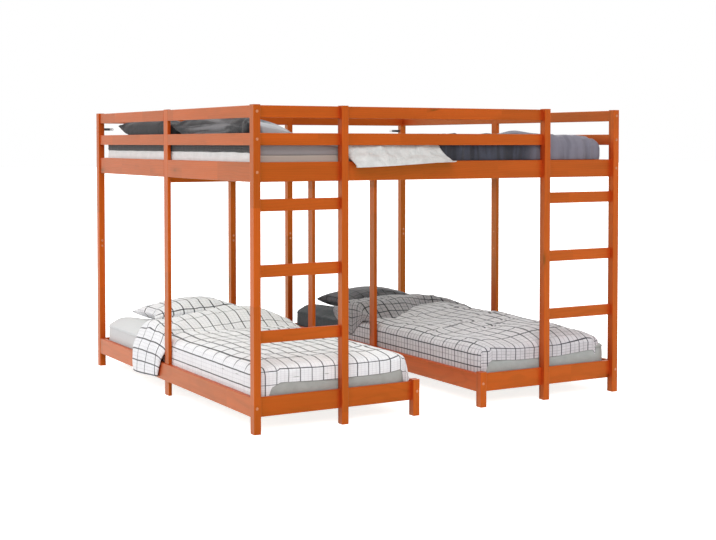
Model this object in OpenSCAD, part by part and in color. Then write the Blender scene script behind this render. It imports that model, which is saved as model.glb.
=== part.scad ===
// Triple bunk bed: a 2 m square sleeping platform over two single beds, all in pine boards and posts.
// X runs along the front from left to right, Y from the front to the back, Z up.
// The pieces are drawn from the frame's front left corner, and place() moves them to the part's origin.

/* [Overall] */
// Clear width of each lower bed between its side rails
bed_clear_w = 800; // [760:5:900]
// Clear width of the passage between the two lower beds, from post to post
passage_w = 348; // [300:5:600]
// Clear length of all beds between the end rails
bed_clear_l = 2016; // [1900:4:2100]
// Height of the tall posts
frame_h = 1440; // [1400:5:1520]

/* [Posts] */
// Width of a post along X
post_w = 34; // [30:1:44]
// Depth of a post along Y
post_d = 42; // [38:1:56]
// Width of the flat middle posts along Y
flat_post_w = 54; // [46:1:70]
// Height of the short posts at the inner foot corners of the lower beds
foot_post_h = 170; // [162:1:200]
// Height at which the back posts are joined end to end
back_joint_z = 702; // [680:1:730]
// Length of the half lap that joins the two parts of a tall middle post
lap_l = 150; // [130:2:170]
// Height of the middle of that lap
lap_z = 711; // [690:1:735]

/* [Boards] */
// Thickness of the boards of the platform, the guards, the bed ends and the ladders
board_t = 18; // [16:1:22]
// Thickness of the lower beds' side rails
side_rail_t = 24; // [23:1:28]
// Height of the narrow boards
narrow_h = 54; // [48:1:62]
// Height of the wide boards
wide_h = 87; // [80:1:94]
// Radius of the rounded long edges
edge_r = 3; // [1:0.5:4]
// Gap between the outer face of a lower side rail and its post's outer face
side_rail_set = 2; // [0:0.5:4]

/* [Levels] */
// Distance of the top guard rail below the posts' top ends
top_guard_down = 3; // [0:1:20]
// Step from the lower guard rail to the top guard rail
guard_pitch = 121; // [110:1:130]
// Step from the platform rails to the lower guard rail
platform_pitch = 144; // [130:1:160]
// Height of the middle of the lower beds' rails
low_rail_z = 115; // [110:1:116]
// Step from the highest ladder rung to the platform rails
rung_top_down = 145; // [120:1:170]
// Step from one ladder rung to the next
rung_pitch = 289; // [270:1:295]
// Number of rungs in a ladder
rung_count = 3; // [2:1:3]
// Clear width of a ladder between its posts
ladder_w = 404; // [380:2:430]

/* [Slats] */
// Width of a slat
slat_w = 70; // [50:1:90]
// Thickness of a slat
slat_t = 15; // [12:1:18]
// Number of slats in the platform
platform_slat_count = 14; // [12:1:16]
// Number of slats in a lower bed
bed_slat_count = 13; // [11:1:15]
// Thickness of a slat ledge
ledge_t = 22; // [18:1:28]
// Height of a slat ledge
ledge_h = 26; // [22:1:28]
// Height of the platform's slat ledges above the lower edge of their rails
platform_ledge_up = 0.5; // [0.5:0.5:4]
// Height of the lower beds' slat ledges above the lower edge of their rails
bed_ledge_up = 12; // [6:1:16]
// Thickness of the middle beam along Y
beam_t = 40; // [36:1:46]
// Height of the middle beam
beam_h = 54; // [46:1:60]

/* [Joints and fasteners] */
// Length of a rail's tenon
tenon_l = 12; // [10:0.5:13]
// Thickness of a rail's tenon
tenon_t = 10; // [8:0.5:11]
// Height of the shoulder above and below a tenon
shoulder_h = 8; // [6:1:10]
// Clearance of tenons, laps and housings
joint_gap = 0.2; // [0.1:0.05:0.4]
// Diameter of the connecting bolts
bolt_d = 6; // [5:0.5:7]
// Diameter of a bolt's head
bolt_head_d = 13; // [11:0.5:14]
// Thickness of a bolt's head
bolt_head_t = 3.5; // [3:0.5:5]
// Depth to which a bolt's head is let into the post
bolt_recess = 2.5; // [1.5:0.5:4]
// Distance from a rail's end to its barrel nut
nut_set = 34; // [30:1:40]
// Diameter of a barrel nut
nut_d = 10; // [9:0.5:11]
// Diameter of the wooden dowels
dowel_d = 8; // [6:1:9]
// Length of the wooden dowels
dowel_l = 30; // [26:1:34]
// Diameter of the steel pins in the back posts
pin_d = 10; // [8:0.5:12]
// Length of the steel pins in the back posts
pin_l = 80; // [70:2:100]
// Distance of a lock screw above or below the back posts' joint
lock_up = 15; // [13:0.5:20]
// Diameter of a lock screw
lock_d = 6; // [5:0.5:7]
// Diameter of a wood screw's shank
screw_d = 4; // [3.5:0.5:4.5]
// Length of a wood screw
screw_l = 32; // [30:1:36]
// Distance of the first screw of a platform ledge from the bed's middle
platform_screw_mid = 130; // [110:5:150]
// Step from screw to screw in a platform ledge
platform_screw_step = 350; // [300:5:360]
// Distance of the first screw of a lower bed's ledge from the ledge's end
bed_screw_end = 108; // [90:2:130]
// Length of the two angles that hold the bed to a wall
bracket_l = 68; // [50:1:80]
// Distance of the wall angles' middle below the top guard rail's middle
bracket_down = 60; // [50:1:70]
// Height of the wall angles
plate_h = 14; // [12:1:18]
// Thickness of the wall angles
plate_t = 2.5; // [2:0.5:3]
// Length of a wall angle's leg on the post
plate_leg = 24; // [20:1:26]
// Diameter of the wall angles' holes for wall screws
wall_hole_d = 5; // [4:0.5:6]

/* [Mattresses and pillows] */
// Gap round a mattress in its bed
mattress_gap = 10; // [9:1:20]
// Thickness of the lower mattresses
bed_mattress_t = 121; // [90:1:140]
// Thickness of the upper mattress
upper_mattress_t = 80; // [70:1:90]
// Height of a mattress's crown over its border
mattress_crown = 8; // [2:1:12]
// Thickness of the dark blanket on the upper mattress
blanket_t = 32; // [26:1:40]
// Length of a lower pillow along X
pillow_l = 640; // [600:10:660]
// Width of a lower pillow along Y
pillow_w = 380; // [340:10:400]
// Thickness of a lower pillow
pillow_t = 148; // [100:2:160]
// Gap between a lower pillow and the mattress's head end
pillow_head_gap = 20; // [0:5:40]
// Distance of the left pillow from its bed's middle
left_pillow_shift = 13; // [0:1:60]
// Distance of the right pillow from its bed's middle
right_pillow_shift = 60; // [0:1:70]
// Length of an upper pillow along Y
upper_pillow_l = 800; // [700:10:860]
// Width of an upper pillow
upper_pillow_w = 430; // [380:10:480]
// Thickness of an upper pillow
upper_pillow_t = 112; // [90:2:130]
// Tilt of the upper pillows against the left guard rails
upper_pillow_tilt = 16; // [8:1:20]
// Gap between the upper pillows
pillow_step = 10; // [2:1:30]
// Gap between the front upper pillow and the front rail
pillow_end_gap = 64; // [40:2:100]
// Gap between the upper pillows and the left guard rails
pillow_side_gap = 8; // [1:1:20]
// Thickness of a pillow's or duvet's edge
seam_h = 8; // [4:1:10]

/* [Duvets] */
// Height of a duvet's crown over its mattress
duvet_t = 46; // [34:1:60]
// Height of the folds in a duvet
fold_wave = 5; // [0:0.5:8]
// Distance of a lower duvet's hem above the rails
hem_up = 44; // [30:1:56]
// Height of the waves in a lower duvet's hem
hem_wave = 5; // [2:0.5:8]
// Distance of a lower duvet's turned back part behind the flat middle posts
roll_back = 13; // [8:1:30]
// Gap between the two parts of a duvet
roll_gap = 7; // [4:1:20]
// Length of the turned back part along Y
roll_l = 460; // [380:10:480]
// Height of the turned back part
roll_h = 122; // [100:2:140]
// Distance that the left duvet hangs out beyond the frame
drape_out = 30; // [26:1:50]
// Height of the lower end of that drape
drape_z = 66; // [50:1:90]
// Distance by which the drape's front edge slants
drape_slant = 60; // [0:5:90]
// Distance of the upper duvet's turned back part from the left ladder post
turnback_in = 8; // [4:1:60]
// Width of the upper duvet's turned back part along X
turnback_w = 550; // [460:5:600]
// Length of the upper duvet's turned back part along Y
turnback_l = 1000; // [800:10:1200]
// Distance that it hangs down over the front rail
turnback_drop = 25; // [10:1:40]
// Distance by which its front corner is drawn in
turnback_slant = 24; // [0:1:40]
// Distance of the upper duvet's right edge from the frame's right face
upper_duvet_in = 80; // [60:2:200]
// Length of the upper duvet along Y
upper_duvet_l = 1160; // [900:10:1400]

/* [Hidden] */

wood_lit = "#c8743c";
wood_dark = "#a8501f";
wood_pale = "#d8b48a";
steel = "#b9bcc0";
cover_grey = "#a9adad";
duvet_white = "#e6e4e6";
duvet_grey = "#cfcbd0";
slate = "#3b4044";
navy = "#3f4456";
eps = 0.01;

// Plan: outer faces of the frame and the left faces of the posts
rail_in = side_rail_t + side_rail_set;
bed_w = bed_clear_w + 2 * rail_in;
frame_w = 2 * bed_w + passage_w;
frame_d = bed_clear_l + 2 * post_d;
post_a = 0;
post_a2 = post_w + ladder_w;
post_b = bed_w - post_w;
post_c = frame_w - bed_w;
post_d2 = frame_w - 2 * post_w - ladder_w;
post_dr = frame_w - post_w;
back_y = frame_d - post_d;
mid_y = (frame_d - flat_post_w) / 2;
side_set = rail_in - board_t;
front_rail_y = post_d - board_t;
in_w = frame_w - 2 * rail_in;
top_guard_z = frame_h - top_guard_down - narrow_h / 2;
mid_guard_z = top_guard_z - guard_pitch;
platform_z = mid_guard_z - platform_pitch;
bracket_z = top_guard_z - bracket_down;
platform_rail_low = platform_z - wide_h / 2;
low_rail_low = low_rail_z - wide_h / 2;
platform_ledge_z = platform_rail_low + platform_ledge_up;
platform_slat_z = platform_ledge_z + ledge_h;
beam_z = platform_slat_z - beam_h;
bed_ledge_z = low_rail_low + bed_ledge_up;
bed_slat_z = bed_ledge_z + ledge_h;
strap_t = 1.2;
soft_gap = 0.3;
form_gap = 0.7;
skirt_t = mattress_gap - 3;
bed_mattress_z = bed_slat_z + slat_t + strap_t + soft_gap;
upper_mattress_z = platform_slat_z + slat_t + strap_t + soft_gap;
bed_top_z = bed_mattress_z + bed_mattress_t;
upper_top_z = upper_mattress_z + upper_mattress_t;
blanket_top_z = upper_top_z + soft_gap + blanket_t;
rungs_z = [for (i = [rung_count - 1:-1:0]) platform_z - rung_top_down - i * rung_pitch];
guards_z = [mid_guard_z, top_guard_z];

// The origin lies under the middle of the whole object, with the duvet that hangs out on the left
origin_x = (frame_w - drape_out) / 2;
origin_y = frame_d / 2;

module place() {
    translate([-origin_x, -origin_y, 0]) children();
}

// Section of a board or post with rounded corners, its lower left corner at the origin
module section(a, b, r = edge_r) {
    translate([r, 0]) square([a - 2 * r, b]);
    translate([0, r]) square([a, b - 2 * r]);
    for (u = [r, a - r], v = [r, b - r]) translate([u, v]) circle(r, $fn = 24);
}

// Boards and posts from their lowest corner, rounded along the axis that they run in
module board_x(at, size) {
    translate(at) rotate([90, 0, 90]) linear_extrude(size[0]) section(size[1], size[2]);
}
module board_y(at, size) {
    translate([at[0], at[1] + size[1], at[2]])
        rotate([90, 0, 0]) linear_extrude(size[1]) section(size[0], size[2]);
}
module board_z(at, size) {
    translate(at) linear_extrude(size[2]) section(size[0], size[1]);
}

// Plain round bars from the middle of one end, along one axis
module rod_x(at, d, l) {
    translate(at) rotate([0, 90, 0]) cylinder(d = d, h = l, $fn = 32);
}
module rod_y(at, d, l) {
    translate(at) rotate([-90, 0, 0]) cylinder(d = d, h = l, $fn = 32);
}
module rod_z(at, d, l) {
    translate(at) cylinder(d = d, h = l, $fn = 32);
}

// Rail along X from x0 to x1 between two posts, with a tenon at each end
module rail_x(x0, x1, y, z, h) {
    board_x([x0, y, z - h / 2], [x1 - x0, board_t, h]);
    for (x = [x0 - tenon_l, x1])
        translate([x, y + (board_t - tenon_t) / 2, z - h / 2 + shoulder_h])
            cube([tenon_l, tenon_t, h - 2 * shoulder_h]);
}

// Mortise for that tenon, from the post's face at x into the post: way is 1 towards +X and -1 towards -X
module mortise(x, way, y, z, h) {
    l = tenon_l + 1 + eps;
    translate([way > 0 ? x - eps : x - l + eps, y + (board_t - tenon_t) / 2 - joint_gap,
               z - h / 2 + shoulder_h - joint_gap])
        cube([l, tenon_t + 2 * joint_gap, h - 2 * shoulder_h + 2 * joint_gap]);
}

// A joint between a post and the end of a side rail is a bolt, its barrel nut and a dowel beside it.
// Each is [x, z, height of the rail, thickness of the rail], on the front and the back row alike.
side_x = side_set + board_t / 2;
low_x = side_rail_set + side_rail_t / 2;
upper_levels = [[platform_z, wide_h], [mid_guard_z, narrow_h], [top_guard_z, narrow_h]];
function upper_joints(x) = [for (l = upper_levels) [x, l[0], l[1], board_t]];
function low_joint(x) = [x, low_rail_z, wide_h, side_rail_t];
joints_a = concat(upper_joints(side_x), [low_joint(low_x)]);
joints_b = [low_joint(post_b + post_w - low_x)];
joints_c = [low_joint(post_c + low_x)];
joints_d = concat(upper_joints(frame_w - side_x), [low_joint(frame_w - low_x)]);
all_joints = concat(joints_a, joints_b, joints_c, joints_d);
bolt_l = post_d - bolt_recess + nut_set + nut_d;
head_gap = 0.6;
bolt_bore = bolt_d + head_gap;
dowel_bore = dowel_d + 0.2;
function dowel_drop(h) = h / 2 - dowel_d - 3;

// Mirrors what it is given from the front row to the back row
module rows() {
    children();
    translate([0, frame_d, 0]) mirror([0, 1, 0]) children();
}

module joint_bores(joints) {
    for (j = joints) {
        rod_y([j[0], -eps, j[1]], bolt_head_d + head_gap, bolt_recess + eps);
        rod_y([j[0], -eps, j[1]], bolt_bore, post_d + nut_set + nut_d + 2);
        rod_y([j[0], post_d - dowel_l / 2 - 0.5, j[1] - dowel_drop(j[2])], dowel_bore, dowel_l + 1);
        rod_x([j[0] - nut_d / 2 - eps, post_d + nut_set, j[1]], nut_d + 0.2, j[3]);
    }
}

module front_bores(joints) {
    joint_bores(joints);
}

module back_bores(joints) {
    translate([0, frame_d, 0]) mirror([0, 1, 0]) joint_bores(joints);
}

// Levels of the rails that end at a post on one side, as [middle, height]
guard_levels = [for (z = guards_z) [z, narrow_h]];
wide_level = [[platform_z, wide_h]];
low_level = [[low_rail_z, wide_h]];
rung_levels = [for (z = rungs_z) [z, narrow_h]];

// Square post from z0 to z1, mortised for the levels on its left and right
module square_post(x, y, z0, z1, rail_y, left, right) {
    difference() {
        board_z([x, y, z0], [post_w, post_d, z1 - z0]);
        for (l = left) mortise(x, 1, rail_y, l[0], l[1]);
        for (l = right) mortise(x + post_w, -1, rail_y, l[0], l[1]);
    }
}

module front_left_post() {
    color(wood_lit) place() difference() {
        square_post(post_a, 0, 0, frame_h, front_rail_y, [],
                    concat(guard_levels, wide_level, low_level, rung_levels));
        front_bores(joints_a);
    }
}

module left_ladder_post() {
    color(wood_dark) place() square_post(post_a2, 0, 0, frame_h, front_rail_y,
        concat(guard_levels, wide_level, low_level, rung_levels),
        concat(guard_levels, wide_level, low_level));
}

module right_ladder_post() {
    color(wood_dark) place() square_post(post_d2, 0, 0, frame_h, front_rail_y,
        concat(guard_levels, wide_level, low_level), concat(wide_level, low_level, rung_levels));
}

module front_right_post() {
    color(wood_dark) place() difference() {
        square_post(post_dr, 0, 0, frame_h, front_rail_y, concat(wide_level, low_level, rung_levels), []);
        front_bores(joints_d);
    }
}

module foot_posts() {
    color(wood_dark) place() {
        difference() {
            square_post(post_b, 0, 0, foot_post_h, front_rail_y, low_level, []);
            front_bores(joints_b);
        }
        difference() {
            square_post(post_c, 0, 0, foot_post_h, front_rail_y, [], low_level);
            front_bores(joints_c);
        }
    }
}

// The back posts are in two parts, on a steel pin with a lock screw in each part
pin_bore = pin_d + 0.2;
lock_bore = lock_d + 0.3;
lock_l = (post_d - pin_d) / 2 - 0.4;
lock_recess = 2;
lock_head_d = bolt_head_d - 1;
function pin_z() = back_joint_z - pin_l / 2;

module pin_bores(x) {
    rod_z([x + post_w / 2, back_y + post_d / 2, pin_z() - 0.3], pin_bore, pin_l + 0.6);
    for (s = [-1, 1]) {
        at = [x + post_w / 2, back_y - eps, back_joint_z + s * lock_up];
        rod_y(at, lock_bore, post_d / 2);
        rod_y(at, lock_head_d + head_gap, lock_recess + eps);
    }
}

module back_post(x, z0, z1, left, right, joints) {
    inside = function (l) l[0] > z0 && l[0] < z1;
    difference() {
        square_post(x, back_y, z0, z1, back_y,
                    [for (l = left) if (inside(l)) l], [for (l = right) if (inside(l)) l]);
        back_bores(joints);
        pin_bores(x);
        for (s = plate_screws) screw_x(s[0], plate_screw_y, bracket_z, s[1], plate_screw_l, screw_fit);
    }
}

back_levels = concat(guard_levels, wide_level);
module back_left_post_lower() {
    color(wood_dark) place() back_post(post_a, 0, back_joint_z, [], low_level, joints_a);
}
module back_left_post_upper() {
    color(wood_dark) place() back_post(post_a, back_joint_z, frame_h, [], back_levels, joints_a);
}
module back_inner_left_post_lower() {
    color(wood_dark) place() back_post(post_b, 0, back_joint_z, low_level, [], joints_b);
}
module back_inner_left_post_upper() {
    color(wood_dark) place() back_post(post_b, back_joint_z, frame_h, back_levels, back_levels, []);
}
module back_inner_right_post_lower() {
    color(wood_dark) place() back_post(post_c, 0, back_joint_z, [], low_level, joints_c);
}
module back_inner_right_post_upper() {
    color(wood_dark) place() back_post(post_c, back_joint_z, frame_h, back_levels, back_levels, []);
}
module back_right_post_lower() {
    color(wood_dark) place() back_post(post_dr, 0, back_joint_z, low_level, [], joints_d);
}
module back_right_post_upper() {
    color(wood_dark) place() back_post(post_dr, back_joint_z, frame_h, back_levels, [], joints_d);
}

// Flat middle posts: left faces of their four boards
flat_a = rail_in - board_t;
flat_b = post_b + post_w - rail_in;
flat_c = post_c + rail_in - board_t;
flat_d = frame_w - rail_in;
lap_low = lap_z - lap_l / 2;
lap_high = lap_z + lap_l / 2;
// The dowels of a middle post: [level, offset from the level], one in a narrow board and two in a wide one
edge_dowels = [[top_guard_z, 0], [mid_guard_z, 0], [platform_z, -22], [platform_z, 22]];
beam_dowel_y = [mid_y + flat_post_w / 2 - beam_t / 4, mid_y + flat_post_w / 2 + beam_t / 4];
beam_dowel_deep = 12;

module edge_dowel_bores(x) {
    for (e = edge_dowels, y = [mid_y, mid_y + flat_post_w])
        rod_y([x + board_t / 2, y - dowel_l / 2 - 0.5, e[0] + e[1]], dowel_bore, dowel_l + 1);
}

// Screws that run along X: [x of the head's face, y, z, way], way 1 when the screw points to +X
lap_screw_up = lap_l / 2 - 26;
lap_screws = [
    for (z = [lap_z - lap_screw_up, lap_z + lap_screw_up])
        each [[rail_in, z, -1], [flat_d, z, 1]]
];
housing_screws = [
    for (s = [[rail_in, -1], [flat_b, 1], [flat_c + board_t, -1], [flat_d, 1]], y = [-14, 14])
        [s[0], frame_d / 2 + y, low_rail_z + 20 * sign(y), s[1]]
];
short_screw_l = board_t + (side_rail_t - board_t) - 3;
lap_screw_l = board_t - 2;
screw_head_d = 2 * screw_d;
screw_head_t = screw_d / 2;
screw_fit = 0.1;
// Screws of the wall angles: [x of the head's face, way]
plate_screws = [[post_w + plate_t, -1], [post_dr - plate_t, 1]];
plate_screw_y = frame_d - plate_leg + screw_head_d;
plate_screw_l = 22;

// Countersunk screw along Z from its head's face, grown by g for its hole
module screw(l, g) {
    translate([0, 0, -g]) {
        cylinder(d = screw_d + 2 * g, h = l + 2 * g, $fn = 24);
        cylinder(d1 = screw_head_d + 2 * g, d2 = screw_d + 2 * g, h = screw_head_t + g, $fn = 24);
    }
}

// The same screw along X or Y, with way 1 or -1 for the direction that it points in
module screw_x(x, y, z, way, l, g = 0) {
    translate([x, y, z]) rotate([0, 90 * way, 0]) screw(l, g);
}
module screw_y(x, y, z, way, l, g = 0) {
    translate([x, y, z]) rotate([-90 * way, 0, 0]) screw(l, g);
}

// Tall middle post: the lower part keeps its outer half in the lap, the upper part its inner half
module middle_post_lower(x, outer) {
    difference() {
        board_z([x, mid_y, 0], [board_t, flat_post_w, lap_high]);
        translate([outer > 0 ? x - eps : x + board_t / 2 - joint_gap / 2, mid_y - eps, lap_low])
            cube([board_t / 2 + joint_gap / 2 + eps, flat_post_w + 2 * eps, lap_l + 1]);
        for (s = lap_screws) screw_x(s[0], frame_d / 2, s[1], s[2], lap_screw_l, screw_fit);
        for (s = housing_screws) screw_x(s[0], s[1], s[2], s[3], short_screw_l, screw_fit);
    }
}

module middle_post_upper(x, outer) {
    difference() {
        board_z([x, mid_y, lap_low + joint_gap], [board_t, flat_post_w, frame_h - lap_low - joint_gap]);
        translate([outer > 0 ? x + board_t / 2 : x - eps, mid_y - eps, lap_low])
            cube([board_t / 2 + eps, flat_post_w + 2 * eps, lap_l + joint_gap]);
        for (s = lap_screws) screw_x(s[0], frame_d / 2, s[1], s[2], lap_screw_l, screw_fit);
        edge_dowel_bores(x);
        for (y = beam_dowel_y)
            rod_x([outer > 0 ? x - eps : x + board_t - beam_dowel_deep - 0.5, y, beam_z + beam_h / 2],
                  dowel_bore, beam_dowel_deep + 0.5 + eps);
    }
}

module left_middle_post_lower() {
    color(wood_lit) place() middle_post_lower(flat_a, -1);
}
module left_middle_post_upper() {
    color(wood_lit) place() middle_post_upper(flat_a, -1);
}
module right_middle_post_lower() {
    color(wood_dark) place() middle_post_lower(flat_d, 1);
}
module right_middle_post_upper() {
    color(wood_dark) place() middle_post_upper(flat_d, 1);
}

// Inner supports: flat boards from the floor to the underside of the middle beam
support_dowel_l = dowel_l;
module inner_support(x) {
    difference() {
        board_z([x, mid_y, 0], [board_t, flat_post_w, beam_z]);
        rod_z([x + board_t / 2, frame_d / 2, beam_z - support_dowel_l / 2 - 0.5],
              dowel_bore, support_dowel_l);
        for (s = housing_screws) screw_x(s[0], s[1], s[2], s[3], short_screw_l, screw_fit);
    }
}

module left_inner_support() {
    color(wood_dark) place() inner_support(flat_b);
}
module right_inner_support() {
    color(wood_dark) place() inner_support(flat_c);
}

// Side rail of the platform or the guards, in two lengths that meet the middle post
module split_side_rail(x, z, h) {
    board_y([x, post_d, z - h / 2], [board_t, mid_y - post_d, h]);
    board_y([x, mid_y + flat_post_w, z - h / 2], [board_t, back_y - mid_y - flat_post_w, h]);
}

module side_bores(x, joints) {
    rows() joint_bores(joints);
    edge_dowel_bores(x);
}

module left_guard_rails() {
    color(wood_lit) place() difference() {
        for (z = guards_z) split_side_rail(flat_a, z, narrow_h);
        side_bores(flat_a, joints_a);
    }
}
module right_guard_rails() {
    color(wood_dark) place() difference() {
        for (z = guards_z) split_side_rail(flat_d, z, narrow_h);
        side_bores(flat_d, joints_d);
    }
}
module left_platform_rails() {
    color(wood_lit) place() difference() {
        split_side_rail(flat_a, platform_z, wide_h);
        side_bores(flat_a, joints_a);
    }
}
module right_platform_rails() {
    color(wood_dark) place() difference() {
        split_side_rail(flat_d, platform_z, wide_h);
        side_bores(flat_d, joints_d);
    }
}

// Bays between the posts of the front and the back row
bay_1 = [post_a + post_w, post_a2];
bay_2 = [post_a2 + post_w, post_d2];
bay_3 = [post_d2 + post_w, post_dr];
back_bays = [[post_a + post_w, post_b], [post_b + post_w, post_c], [post_c + post_w, post_dr]];

module front_guard_rails() {
    color(wood_dark) place()
        for (z = guards_z, b = [bay_1, bay_2]) rail_x(b[0], b[1], front_rail_y, z, narrow_h);
}
module back_guard_rails() {
    color(wood_dark) place() for (z = guards_z, b = back_bays) rail_x(b[0], b[1], back_y, z, narrow_h);
}

// Screws along Y that hold the platform's ledges: places along X
platform_screw_x = [
    for (s = [-1, 1], k = [0:2]) frame_w / 2 + s * (platform_screw_mid + platform_screw_step * k)
];
platform_screw_z = platform_ledge_z + ledge_h / 2;
module platform_screw_holes() {
    for (x = platform_screw_x) {
        screw_y(x, post_d + ledge_t, platform_screw_z, -1, screw_l, screw_fit);
        screw_y(x, back_y - ledge_t, platform_screw_z, 1, screw_l, screw_fit);
    }
}

module front_platform_rails() {
    color(wood_dark) place() difference() {
        for (b = [bay_1, bay_2, bay_3]) rail_x(b[0], b[1], front_rail_y, platform_z, wide_h);
        platform_screw_holes();
    }
}
module back_platform_rails() {
    color(wood_dark) place() difference() {
        for (b = back_bays) rail_x(b[0], b[1], back_y, platform_z, wide_h);
        platform_screw_holes();
    }
}

module beam_bores() {
    for (y = beam_dowel_y, x = [rail_in, frame_w - rail_in])
        rod_x([x - dowel_l, y, beam_z + beam_h / 2], dowel_bore, 2 * dowel_l);
    for (x = [flat_b, flat_c])
        rod_z([x + board_t / 2, frame_d / 2, beam_z - eps], dowel_bore, support_dowel_l / 2 + 1);
}

module middle_beam() {
    color(wood_dark) place() difference() {
        board_x([rail_in, (frame_d - beam_t) / 2, beam_z], [in_w, beam_t, beam_h]);
        beam_bores();
    }
}

// Lower side rails: one board from post to post, housed on its inner face for the flat middle post
bed_screw_step = (bed_clear_l - 2 * bed_screw_end) / 5;
bed_screw_y = [for (i = [0:5]) frame_d / 2 + (i - 2.5) * bed_screw_step];
bed_screw_z = bed_ledge_z + ledge_h / 2;
module low_side_rail(x, flat_x, inner_x, way, joints) {
    difference() {
        board_y([x, post_d, low_rail_z - wide_h / 2], [side_rail_t, back_y - post_d, wide_h]);
        translate([way > 0 ? flat_x - joint_gap : flat_x - 1, mid_y - joint_gap, low_rail_low - 1])
            cube([board_t + 1 + joint_gap, flat_post_w + 2 * joint_gap, wide_h + 2]);
        rows() joint_bores(joints);
        for (y = bed_screw_y) screw_x(inner_x + way * ledge_t, y, bed_screw_z, -way, screw_l, screw_fit);
        for (s = housing_screws) screw_x(s[0], s[1], s[2], s[3], short_screw_l, screw_fit);
    }
}

module left_bed_outer_rail() {
    color(wood_lit) place() low_side_rail(side_rail_set, flat_a, rail_in, 1, joints_a);
}
module left_bed_inner_rail() {
    color(wood_dark) place() low_side_rail(bed_w - rail_in, flat_b, bed_w - rail_in, -1, joints_b);
}
module right_bed_inner_rail() {
    color(wood_dark) place() low_side_rail(post_c + side_rail_set, flat_c, post_c + rail_in, 1, joints_c);
}
module right_bed_outer_rail() {
    color(wood_dark) place() low_side_rail(frame_w - rail_in, flat_d, frame_w - rail_in, -1, joints_d);
}

module left_bed_foot_rails() {
    color(wood_dark) place() {
        rail_x(post_a + post_w, post_a2, front_rail_y, low_rail_z, wide_h);
        rail_x(post_a2 + post_w, post_b, front_rail_y, low_rail_z, wide_h);
    }
}
module right_bed_foot_rails() {
    color(wood_dark) place() {
        rail_x(post_c + post_w, post_d2, front_rail_y, low_rail_z, wide_h);
        rail_x(post_d2 + post_w, post_dr, front_rail_y, low_rail_z, wide_h);
    }
}
module bed_head_rails() {
    color(wood_dark) place() {
        rail_x(post_a + post_w, post_b, back_y, low_rail_z, wide_h);
        rail_x(post_c + post_w, post_dr, back_y, low_rail_z, wide_h);
    }
}

module left_ladder_rungs() {
    color(wood_dark) place() for (z = rungs_z) rail_x(bay_1[0], bay_1[1], front_rail_y, z, narrow_h);
}
module right_ladder_rungs() {
    color(wood_dark) place() for (z = rungs_z) rail_x(bay_3[0], bay_3[1], front_rail_y, z, narrow_h);
}

// Ledges that carry the slats, screwed to the inner faces of the rails
ledge_end = 6;
module platform_ledges() {
    color(wood_pale) place() difference() {
        for (y = [post_d, back_y - ledge_t])
            translate([rail_in + ledge_end, y, platform_ledge_z])
                cube([in_w - 2 * ledge_end, ledge_t, ledge_h]);
        platform_screw_holes();
    }
}

// The lower beds as [x of the left inner face, x of the right inner face]
beds = [[rail_in, bed_w - rail_in], [post_c + rail_in, frame_w - rail_in]];
module bed_screw_holes() {
    for (b = beds, y = bed_screw_y) {
        screw_x(b[0] + ledge_t, y, bed_screw_z, -1, screw_l, screw_fit);
        screw_x(b[1] - ledge_t, y, bed_screw_z, 1, screw_l, screw_fit);
    }
}

module bed_ledges() {
    color(wood_pale) place() difference() {
        for (b = beds, x = [b[0], b[1] - ledge_t])
            translate([x, post_d + ledge_end, bed_ledge_z])
                cube([ledge_t, bed_clear_l - 2 * ledge_end, ledge_h]);
        bed_screw_holes();
    }
}

slat_end = 4;
slat_margin = 24;
module platform_slats() {
    pitch = (in_w - slat_w - 2 * slat_margin) / (platform_slat_count - 1);
    color(wood_pale) place() for (i = [0:platform_slat_count - 1])
        board_y([rail_in + slat_margin + i * pitch, post_d + slat_end, platform_slat_z],
                [slat_w, bed_clear_l - 2 * slat_end, slat_t]);
}

module bed_slats(bed) {
    pitch = (bed_clear_l - slat_w - 2 * slat_margin) / (bed_slat_count - 1);
    for (i = [0:bed_slat_count - 1])
        board_x([bed[0] + slat_end, post_d + slat_margin + i * pitch, bed_slat_z],
                [bed[1] - bed[0] - 2 * slat_end, slat_w, slat_t]);
}
module left_bed_slats() {
    color(wood_pale) place() bed_slats(beds[0]);
}
module right_bed_slats() {
    color(wood_pale) place() bed_slats(beds[1]);
}

// Woven straps along each row of slats, which keep their spacing
strap_w = 25;
strap_in = 110;
module slat_straps() {
    color("#d9d4c8") place() {
        for (b = beds, x = [b[0] + strap_in, b[1] - strap_in - strap_w])
            translate([x, post_d + slat_margin, bed_slat_z + slat_t])
                cube([strap_w, bed_clear_l - 2 * slat_margin, strap_t]);
        for (y = [post_d + strap_in, back_y - strap_in - strap_w])
            translate([rail_in + slat_margin, y, platform_slat_z + slat_t])
                cube([in_w - 2 * slat_margin, strap_w, strap_t]);
    }
}

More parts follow.
